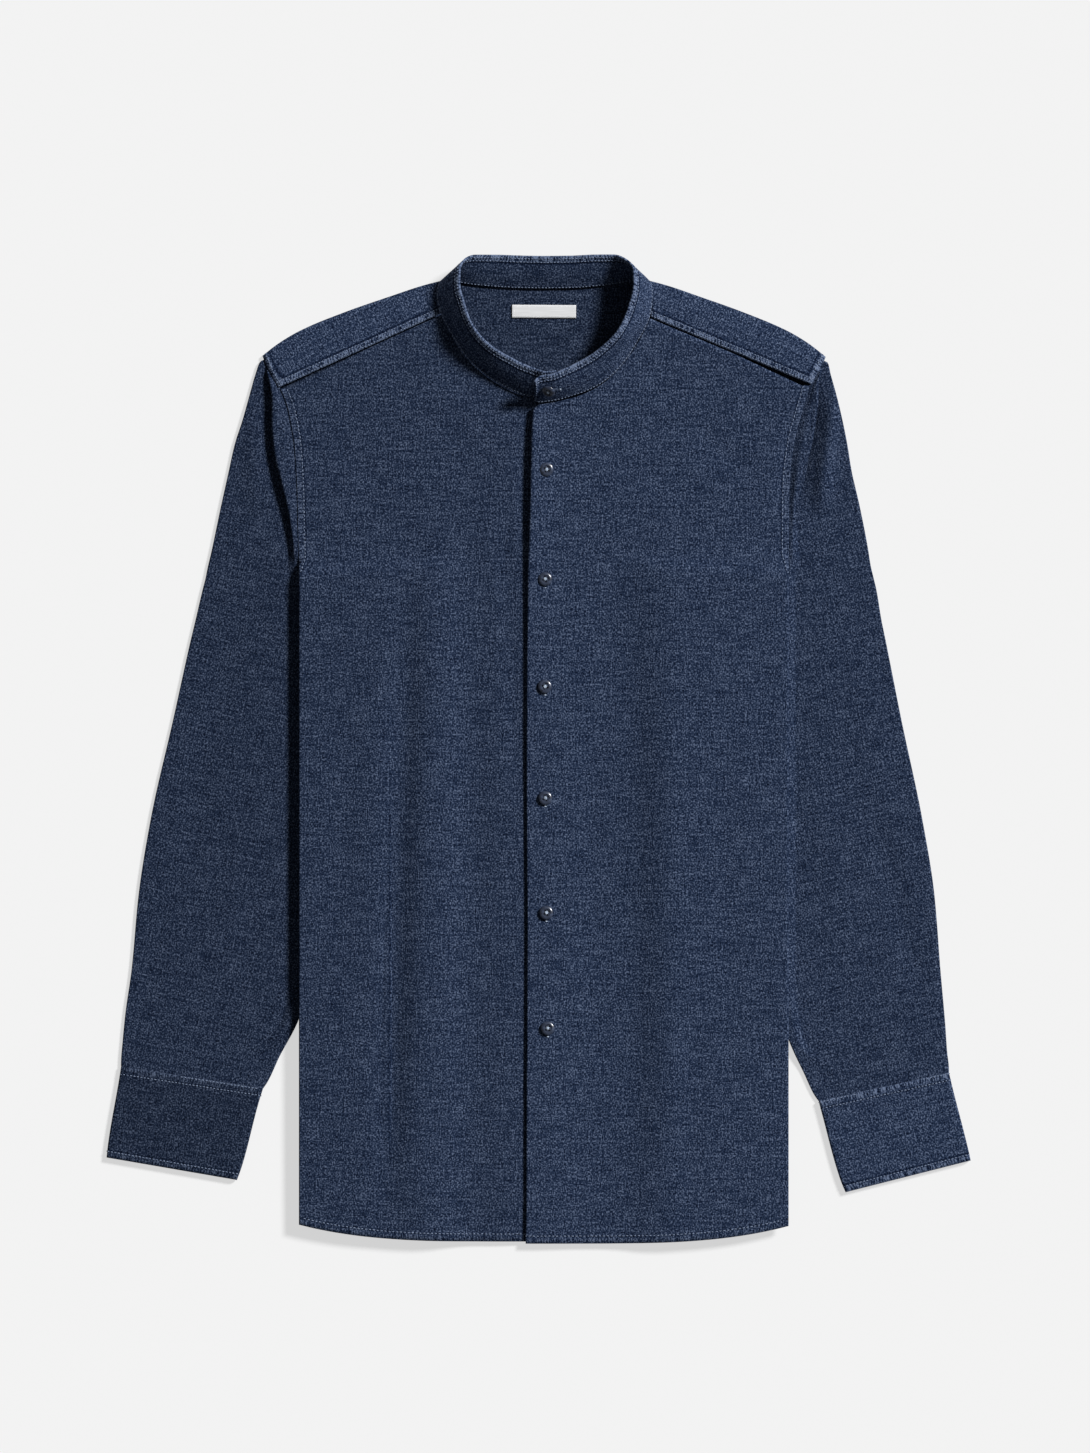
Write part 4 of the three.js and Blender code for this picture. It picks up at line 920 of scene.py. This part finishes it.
# %% Collar band
BAND_HEIGHT, BAND_WALL, BAND_BOW, BAND_OVER_PANEL = 28.0, 1.6, 1.2, 1.6
band_lines = table("seam_x seam_y panel_z top_x top_y", [
    (22.8, 284.4, 3.8, 14.8, 302.4),
    (8.4, 282.0, 3.8, 6.8, 301.4),
    (-7.6, 283.0, 3.8, -2.8, 304.4),
    (-18.4, 286.8, 4.0, -13.2, 308.4),
    (-31.6, 293.5, 4.2, -21.2, 312.8),
    (-44.9, 302.8, 4.4, -32.4, 318.8),
    (-56.9, 314.8, 4.7, -43.6, 328.0),
    (-68.8, 333.4, 5.1, -53.2, 341.2),
    (-76.7, 349.2, 5.3, -58.4, 356.4),
    (-80.0, 363.6, 4.4, -62.0, 371.6),
    (-78.0, 373.2, 3.0, -61.8, 383.4),
    (-72.4, 376.4, 1.6, -57.2, 391.6),
    (-60.4, 373.2, FLOOR_PLY, -49.0, 394.8),
    (-42.0, 370.8, FLOOR_PLY, -34.0, 395.0),
    (-18.0, 369.2, FLOOR_PLY, -14.0, 394.4),
    (5.2, 368.8, FLOOR_PLY, 5.2, 394.0),
    (28.4, 369.2, FLOOR_PLY, 26.0, 394.2),
    (52.4, 371.2, FLOOR_PLY, 46.0, 395.0),
    (70.0, 374.0, FLOOR_PLY, 60.4, 394.8),
    (84.4, 376.4, 1.6, 71.6, 390.0),
    (90.0, 373.2, 3.2, 76.4, 383.6),
    (91.4, 362.8, 5.0, 76.8, 371.6),
    (89.4, 346.8, 6.4, 73.2, 354.8),
    (79.6, 326.8, 6.6, 64.4, 334.8),
    (70.5, 312.1, 6.8, 54.8, 324.4),
    (58.6, 298.8, 7.1, 43.6, 315.6),
    (44.0, 288.9, 7.1, 33.2, 309.6),
    (28.1, 283.0, 7.1, 22.0, 304.0),
    (12.2, 279.0, 7.1, 10.8, 299.2),
    (1.0, 277.8, 7.1, 1.6, 297.6),
    (-2.4, 279.8, 7.1, -2.2, 293.6),
])


def band_ends(line):
    seam = point(line["seam_x"], line["seam_y"], line["panel_z"] + BAND_OVER_PANEL)
    plan = math.hypot(line["top_x"] - line["seam_x"], line["top_y"] - line["seam_y"])
    return seam, point(line["top_x"], line["top_y"], seam[2] + math.sqrt(BAND_HEIGHT**2 - plan**2))


def band_row(line):
    seam, top = band_ends(line)
    rise = top - seam
    outward = point(-rise[0], -rise[1], math.hypot(rise[0], rise[1]))
    outward /= np.linalg.norm(outward)
    shares = np.linspace(0, 1, 15)
    return [seam + rise * s + outward * BAND_BOW * math.sin(math.pi * s) for s in shares]


band_corners = [band_row(line) for line in band_lines]
band_grid = grid_from(band_corners, [0] * 13, step=2.5)


def band_grain(grid):
    around = np.concatenate([[0.0], np.cumsum(np.linalg.norm(np.diff(grid[:, 7], axis=0), axis=1))])
    height = np.linspace(0, BAND_HEIGHT, grid.shape[1])
    u, v = np.meshgrid(around, height, indexing="ij")
    return np.stack([u, v], -1) * MM


collar = cloth("cloth_collar", band_grid, band_grain, chambray_collar, BAND_WALL, ("right",))

# %% [markdown]
# The shirt is sewn with a paler thread, so its rows of stitches show. Each row follows an edge of a sheet at
# a fixed distance, and each stitch is a short thick bead that is partly sunk into the cloth, as a machine
# leaves it. They are real pieces, made in one object for each kind of seam.

# %% Rows of stitches
STITCH_PITCH, STITCH_LENGTH, STITCH_RADIUS = 3.1, 2.2, 0.48
SUNK = 0.25  # share of its radius by which a stitch is sunk into the cloth
rng = np.random.default_rng(11)


def line_inside(grid, edge, inset, ply=PLY):
    """Points on the sheet's upper face at a distance from an edge, and the face's normals there."""
    axis = 1 if edge in ("left", "right") else 0
    away, _ = edge_distance(grid, edge)
    normal = grid_normals(grid)
    if axis == 0:
        grid, normal, away = grid.swapaxes(0, 1), normal.swapaxes(0, 1), away.T
    if edge in ("right", "last"):
        grid, normal, away = grid[:, ::-1], normal[:, ::-1], away[:, ::-1]
    places, ups = [], []
    for line, side, far in zip(grid, normal, away):
        place = np.array([np.interp(inset, far, line[:, k]) for k in range(3)])
        up = np.array([np.interp(inset, far, side[:, k]) for k in range(3)])
        up *= (1 if up[2] >= 0 else -1) / max(np.linalg.norm(up), 1e-9)
        places.append(place + up * ply / 2)
        ups.append(up)
    return np.array(places), np.array(ups)


def walk(line, ups, pitch, start=0.0, end=1.0):
    """Evenly spaced places along a line between two shares of its length, with directions and normals."""
    travel = np.concatenate([[0.0], np.cumsum(np.linalg.norm(np.diff(line, axis=0), axis=1))])
    low, high = travel[-1] * start, travel[-1] * end
    count = max(1, int((high - low) / pitch))
    wanted = low + (np.arange(count) + 0.5) * (high - low) / count
    at = np.stack([np.interp(wanted, travel, line[:, k]) for k in range(3)], -1)
    ahead = np.stack([np.interp(wanted + 0.5, travel, line[:, k]) for k in range(3)], -1)
    behind = np.stack([np.interp(wanted - 0.5, travel, line[:, k]) for k in range(3)], -1)
    along = ahead - behind
    along /= np.maximum(np.linalg.norm(along, axis=1, keepdims=True), 1e-9)
    up = np.stack([np.interp(wanted, travel, ups[:, k]) for k in range(3)], -1)
    return at, along, up


BEAD = [(-1.0, 0.25), (-0.62, 0.9), (0.0, 1.0), (0.62, 0.9), (1.0, 0.25)]
SIDES = 6


def bead(at, along, up, length, radius):
    """One stitch: a ring of six points at each station along it."""
    side = np.cross(up, along)
    side /= np.linalg.norm(side)
    vertices = []
    for share, swell in BEAD:
        for k in range(SIDES):
            angle = 2 * math.pi * k / SIDES
            turn = side * math.cos(angle) + up * math.sin(angle)
            vertices.append(at + along * share * length / 2 + turn * radius * swell)
    return vertices


def bead_faces(first):
    faces = []
    for ring in range(len(BEAD) - 1):
        for k in range(SIDES):
            a, b = first + ring * SIDES + k, first + ring * SIDES + (k + 1) % SIDES
            faces.append((a, b, b + SIDES, a + SIDES))
    last = first + (len(BEAD) - 1) * SIDES
    faces.append(tuple(first + k for k in reversed(range(SIDES))))
    faces.append(tuple(last + k for k in range(SIDES)))
    return faces


def stitches(name, rows, material):
    """One object from rows of (line, ups, start, end, pitch, length, radius)."""
    vertices, faces = [], []
    for line, ups, start, end, pitch, length, radius in rows:
        for at, along, up in zip(*walk(line, ups, pitch, start, end)):
            wobble = rng.normal(0, 0.05, 3)
            first = len(vertices)
            seat = at + wobble - up * radius * SUNK
            vertices += bead(seat, along, up, length * rng.uniform(0.88, 1.08), radius)
            faces += bead_faces(first)
    vertices = (np.array(vertices) + SHIFT) * MM
    thing = new_mesh_object(name, vertices.tolist(), faces)
    thing.data.polygons.foreach_set("use_smooth", np.ones(len(faces), dtype=bool))
    thing.data.materials.append(material)
    print(name, "stitches", len(vertices) // (len(BEAD) * SIDES))
    return thing


def thread_material(name, colour, worn_colour):
    look = Shading(name)
    place = look.nodes.new("ShaderNodeTexCoord").outputs["Object"]
    fibre = look.noise(place, (900.0, 900.0), 2.0, 3.0)
    look.links.new(look.ramp(fibre, [(0.3, worn_colour), (0.7, colour)]), look.shader.inputs["Base Color"])
    look.bump(fibre, 0.3, 0.0001)
    look.shader.inputs["Roughness"].default_value = 0.7
    look.shader.inputs["Specular IOR Level"].default_value = 0.2
    return look.material


thread = thread_material("thread", srgb(138, 152, 176), srgb(86, 100, 126))


def row_on(grid, edge, inset, start=0.0, end=1.0, pitch=STITCH_PITCH, ply=PLY):
    line, ups = line_inside(grid, edge, inset, ply)
    return line, ups, start, end, pitch, STITCH_LENGTH * pitch / STITCH_PITCH, STITCH_RADIUS


yoke_stitches = stitches("stitches_yoke", [
    row_on(yoke_grid, "left", 1.2, pitch=2.6),
    row_on(yoke_grid, "left", 4.6, pitch=2.6),
    row_on(yoke_grid, "right", 1.2, pitch=2.6),
    row_on(yoke_grid, "right", 4.6, pitch=2.6),
], thread)


def above_underarm(grid):
    """Rows of a front from the neck to the underarm, where its last column still lies on top."""
    drop = grid[:, -5, 2] - grid[:, -1, 2]
    below = np.nonzero(np.abs(drop) > 1.0)[0]
    return grid[: below[0] if len(below) else len(grid)]


armhole_right = above_underarm(front_right_grid)
armhole_left = above_underarm(front_left_grid)
armhole_stitches = stitches("stitches_armholes", [
    row_on(armhole_right, "right", 5.2, pitch=3.0),
    row_on(armhole_left, "right", 5.2, pitch=3.0),
    row_on(yoke_grid, "last", 3.0, start=0.0, end=0.42, pitch=2.8),
    row_on(yoke_grid, "last", 3.0, start=0.58, end=1.0, pitch=2.8),
], thread)
hem_stitches = stitches("stitches_hem", [
    row_on(front_right_grid, "last", 6.0, start=0.0, end=0.74),
    row_on(front_left_grid, "last", 6.0, start=0.0, end=0.66),
], thread)
CUFF_ROWS = [
    (cuff_right_grid, "first", 1.0, 0.22, 0.46), (cuff_right_grid, "first", 6.2, 0.0, 1.0),
    (cuff_right_grid, "last", 5.0, 0.0, 1.0), (cuff_left_grid, "first", 1.0, 0.02, 0.33),
    (cuff_left_grid, "first", 1.0, 0.55, 0.97), (cuff_left_grid, "first", 6.2, 0.0, 1.0),
    (cuff_left_grid, "last", 5.0, 0.0, 1.0),
]
cuff_stitches = stitches("stitches_cuffs", [
    row_on(grid, edge, inset, start, end, 2.8, CUFF_WALL) for grid, edge, inset, start, end in CUFF_ROWS
], thread)
collar_stitches = stitches("stitches_collar", [
    row_on(band_grid, "left", 1.0, pitch=2.7, ply=BAND_WALL),
    row_on(band_grid, "last", 1.4, pitch=2.4, ply=BAND_WALL),
    row_on(band_grid, "right", 2.2, pitch=2.7, ply=BAND_WALL),
    row_on(band_grid, "right", 5.0, pitch=2.7, ply=BAND_WALL),
], thread)
sewing = [yoke_stitches, armhole_stitches, hem_stitches, cuff_stitches, collar_stitches]

# %% [markdown]
# The buttons are small dark resin discs with four holes: a raised rim, a shallow dish and a soft gloss. One
# disc is turned from its profile and the holes are cut through, and all seven share it.

# %% Buttons
BUTTON_THICK = 2.4
BUTTON_PROFILE = [
    (0.0, 0.7), (1.4, 0.7), (3.05, 0.7), (3.12, 1.16), (3.4, 1.22), (3.9, 1.18), (4.4, 1.02),
    (4.85, 0.8), (5.25, 0.5), (5.5, 0.2), (5.6, -0.1), (5.5, -0.5), (5.1, -0.95), (4.4, -1.15),
    (2.5, -1.2), (0.0, -1.2),
]
HOLE_OUT, HOLE_RADIUS = 1.3, 0.7
TURNS = 40


def lathe(name, profile, turns):
    vertices, faces = [], []
    for radius, z in profile:
        for k in range(turns if radius > 0 else 1):
            angle = 2 * math.pi * k / turns
            vertices.append((radius * math.cos(angle) * MM, radius * math.sin(angle) * MM, z * MM))
    starts = np.concatenate([[0], np.cumsum([turns if radius > 0 else 1 for radius, _ in profile])])
    for i in range(len(profile) - 1):
        a, b = int(starts[i]), int(starts[i + 1])
        for k in range(turns):
            after = (k + 1) % turns
            if profile[i][0] == 0:
                faces.append((a, b + k, b + after))
            elif profile[i + 1][0] == 0:
                faces.append((a + k, b, a + after))
            else:
                faces.append((a + k, b + k, b + after, a + after))
    return new_mesh_object(name, vertices, faces)


def cut_holes(thing):
    drill = bmesh.new()
    bore = HOLE_RADIUS * MM
    for sx in (-1, 1):
        for sy in (-1, 1):
            made = bmesh.ops.create_cone(
                drill, cap_ends=True, segments=14, radius1=bore, radius2=bore, depth=8 * MM
            )
            place = Vector((sx * HOLE_OUT * MM, sy * HOLE_OUT * MM, 0))
            bmesh.ops.translate(drill, verts=made["verts"], vec=place)
    cutter = new_mesh_object("drill", [], [])
    drill.to_mesh(cutter.data)
    drill.free()
    cut = thing.modifiers.new("holes", "BOOLEAN")
    cut.operation = "DIFFERENCE"
    cut.solver = "EXACT"
    cut.object = cutter
    shape = bpy.data.meshes.new_from_object(thing.evaluated_get(bpy.context.evaluated_depsgraph_get()))
    thing.modifiers.clear()
    bpy.data.objects.remove(cutter)
    return shape


blank = lathe("button_blank", BUTTON_PROFILE, TURNS)
button_shape = cut_holes(blank)
bpy.data.objects.remove(blank)
button_shape.polygons.foreach_set("use_smooth", np.ones(len(button_shape.polygons), dtype=bool))
button_shape.set_sharp_from_angle(angle=math.radians(40))

resin = Shading("button_resin")
resin_place = resin.nodes.new("ShaderNodeTexCoord").outputs["Object"]
resin_marble = resin.noise(resin_place, (260.0, 420.0), 3.0, 5.0)
resin_colour = resin.ramp(resin_marble, [(0.3, srgb(36, 43, 60)), (0.7, srgb(66, 77, 100))])
resin.links.new(resin_colour, resin.shader.inputs["Base Color"])
resin.shader.inputs["Roughness"].default_value = 0.3
resin.shader.inputs["Specular IOR Level"].default_value = 0.5
resin.shader.inputs["Coat Weight"].default_value = 1.0
resin.shader.inputs["Coat Roughness"].default_value = 0.28
button_shape.materials.clear()
button_shape.materials.append(resin.material)
print("faces of one button", len(button_shape.polygons))

TAB_LINE = 28  # the band's line under the button of the tab
collar_seam, collar_top = band_ends(band_lines[TAB_LINE])
collar_lean = math.atan2(collar_top[2] - collar_seam[2], collar_top[1] - collar_seam[1])
COLLAR_BUTTON_UP = 0.7  # the lined band is a little thicker here than its solid
BUTTON_NODES = ["button_collar"] + [f"button_front_{n}" for n in range(1, 7)]
buttons = {}
for node in BUTTON_NODES:
    low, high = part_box(node)
    middle = [(a + b) / 2 for a, b in zip(low, high)]
    button = bpy.data.objects.new(f"visual_{node}", button_shape)
    button.location = middle
    if node == "button_collar":
        button.rotation_euler = (collar_lean, 0, 0)
        button.location.z += COLLAR_BUTTON_UP * MM
    button.rotation_euler[2] = rng.uniform(-0.5, 0.5)
    scene.collection.objects.link(button)
    buttons[node] = button
bpy.context.view_layer.update()
print("collar button's height, mm", round(buttons["button_collar"].location.z / MM, 1))

# %% [markdown]
# Pale thread crosses between the holes. The slit that a button passes through is worked with close short
# stitches over both lips, and a bar closes it at the end that shows past the rim. On the front the slits
# run along the edge, on the collar's tab along the band.

# %% Crossed thread and worked buttonholes
HOLE_LONG, HOLE_WIDE = 11.4, 2.0
CROSS_REACH, STRAND_OFF, STRAND_LENGTH, STRAND_RADIUS = 1.12, 0.24, 3.1, 0.34
LIP_PITCH, LIP_HALF, LIP_RADIUS, BAR_RADIUS = 0.75, 0.45, 0.2, 0.55


def crossed_thread(button):
    """Rows of beads for the two strands that cross between the holes."""
    turn = np.array(button.matrix_world.to_3x3())
    centre = np.array(button.location) / MM - SHIFT
    up = turn @ np.array([0, 0, 1.0])
    rows = []
    for sx, sy in ((1, 1), (1, -1)):
        for side in (-STRAND_OFF, STRAND_OFF):
            reach = np.array([sx * CROSS_REACH, sy * CROSS_REACH, 1.0])
            across = np.array([-sy, sx, 0]) * side
            ends = [centre + turn @ (reach * (-1, -1, 1) + across), centre + turn @ (reach + across)]
            strand = (STRAND_LENGTH, STRAND_LENGTH, STRAND_RADIUS)
            rows.append((np.array(ends), np.array([up, up]), 0.0, 1.0, *strand))
    return rows


def buttonhole(centre, direction, up):
    """Rows of short beads laid across both lips of a slit."""
    across = np.cross(up, direction)
    rows = []
    for side in (-1, 1):
        start = centre - direction * HOLE_LONG / 2 + across * side * HOLE_WIDE / 4
        steps = int(HOLE_LONG / LIP_PITCH)
        for k in range(steps):
            here = start + direction * (k + 0.5) * HOLE_LONG / steps
            ends = [here - across * LIP_HALF, here + across * LIP_HALF]
            rows.append((np.array(ends), np.array([up, up]), 0.0, 1.0, 0.9, 0.95, LIP_RADIUS))
    return rows


def bar_tack(centre, direction, up, end):
    """The bar that closes one end of a buttonhole."""
    across = np.cross(up, direction)
    here = centre + direction * end * HOLE_LONG / 2
    ends = [here - across * HOLE_WIDE / 2, here + across * HOLE_WIDE / 2]
    return [(np.array(ends), np.array([up, up]), 0.0, 1.0, HOLE_WIDE, HOLE_WIDE, BAR_RADIUS)]


cross_rows, hole_rows = [], []
for node, button in buttons.items():
    cross_rows += crossed_thread(button)
    turn = np.array(button.matrix_world.to_3x3())
    up = turn @ np.array([0, 0, 1.0])
    seat = np.array(button.location) / MM - SHIFT - up * (BUTTON_THICK / 2 + 0.25)
    if node == "button_collar":
        slit, direction, bar_end = seat + point(3.6, 0.8, 0), np.array([1.0, 0.02, 0]), 1
    else:
        slit, direction, bar_end = seat - point(0, 1.2, 0), np.array([0, 1.0, 0]), -1
    hole_rows += buttonhole(slit, direction, up)
    cross_rows += bar_tack(slit, direction, up, bar_end)
button_thread = thread_material("button_thread", srgb(206, 220, 236), srgb(158, 174, 196))
crosses = stitches("stitches_buttons", cross_rows, button_thread)
buttonholes = stitches("stitches_buttonholes", hole_rows, thread)

# %% [markdown]
# The label is a small satin strip, stitched by its ends inside the yoke. It is left blank. It is a thin sheet
# with its ends turned under, and a fine satin line runs along it.

# %% Label
LABEL_LONG, LABEL_TALL = 51.0, 10.4
satin = Shading("label_satin")
satin_threads = satin.uv("threads")
satin_lines = satin.noise(satin_threads, (60.0, 1500.0), 1.0, 2.0)
satin_shade = satin.noise(satin_threads, (30.0, 8.0), 1.0, 6.0)
satin_value = satin.weighted([(satin_lines, 0.6), (satin_shade, 0.8)])
satin_colour = satin.ramp(satin_value, [(0.2, srgb(214, 215, 216)), (0.7, srgb(238, 239, 240))])
satin.links.new(satin_colour, satin.shader.inputs["Base Color"])
satin.bump(satin_value, 0.2, 0.0001)
satin.shader.inputs["Roughness"].default_value = 0.55
satin.shader.inputs["Sheen Weight"].default_value = 0.1
label_z = (label_low[2] + label_high[2]) / 2 / MM
label_turn = -0.006
label_corners = []
for v in np.linspace(-0.5, 0.5, 5):
    row = []
    for u, z in ((-0.44, -0.3), (-0.5, -0.3), (-0.5, 0.3), (0.5, 0.3), (0.5, -0.3), (0.44, -0.3)):
        x, y = u * LABEL_LONG, -v * LABEL_TALL
        row.append(point(
            LABEL_X + x * math.cos(label_turn) - y * math.sin(label_turn),
            LABEL_Y + x * math.sin(label_turn) + y * math.cos(label_turn),
            label_z + z,
        ))
    label_corners.append(row)
label_grid = grid_from(label_corners, [1, 1, 1, 1], step=1.6)
label = cloth("cloth_label", label_grid, grain_by_plan(0), satin.material, 0.22)

# %% [markdown]
# Every cloth piece is listed with the size it was cut to, and every piece rides on the one body.

# %% List the cuts and finish
CUTS = {
    "front_right": (front_right, (0.30, 0.76), 0.205),
    "front_left": (front_left, (0.32, 0.76), 0.215),
    "back": (back, (0.58, 0.67), 0.375),
    "yoke": (yoke, (0.46, 0.17), 0.046),
    "sleeve_right": (sleeve_right, (0.36, 0.60), 0.145),
    "sleeve_left": (sleeve_left, (0.36, 0.60), 0.145),
    "cuff_right": (cuff_right, (0.27, 0.076), None),
    "cuff_left": (cuff_left, (0.27, 0.076), None),
    "collar": (collar, (0.43, 0.03), None),
    "neck_label": (label, (0.057, 0.0104), None),
}
for node, (piece, flat, area) in CUTS.items():
    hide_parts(node)
    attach(piece, "root")
for node, button in buttons.items():
    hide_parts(node)
    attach(button, "root")
for piece in [*sewing, crosses, buttonholes]:
    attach(piece, "root")

for node, (piece, flat, area) in CUTS.items():
    surface = sum(polygon.area for polygon in piece.data.polygons) / 2
    cut = area or round(flat[0] * flat[1], 4)
    print(node, "cloth", round(surface, 4), "cut", cut, "faces", len(piece.data.polygons))
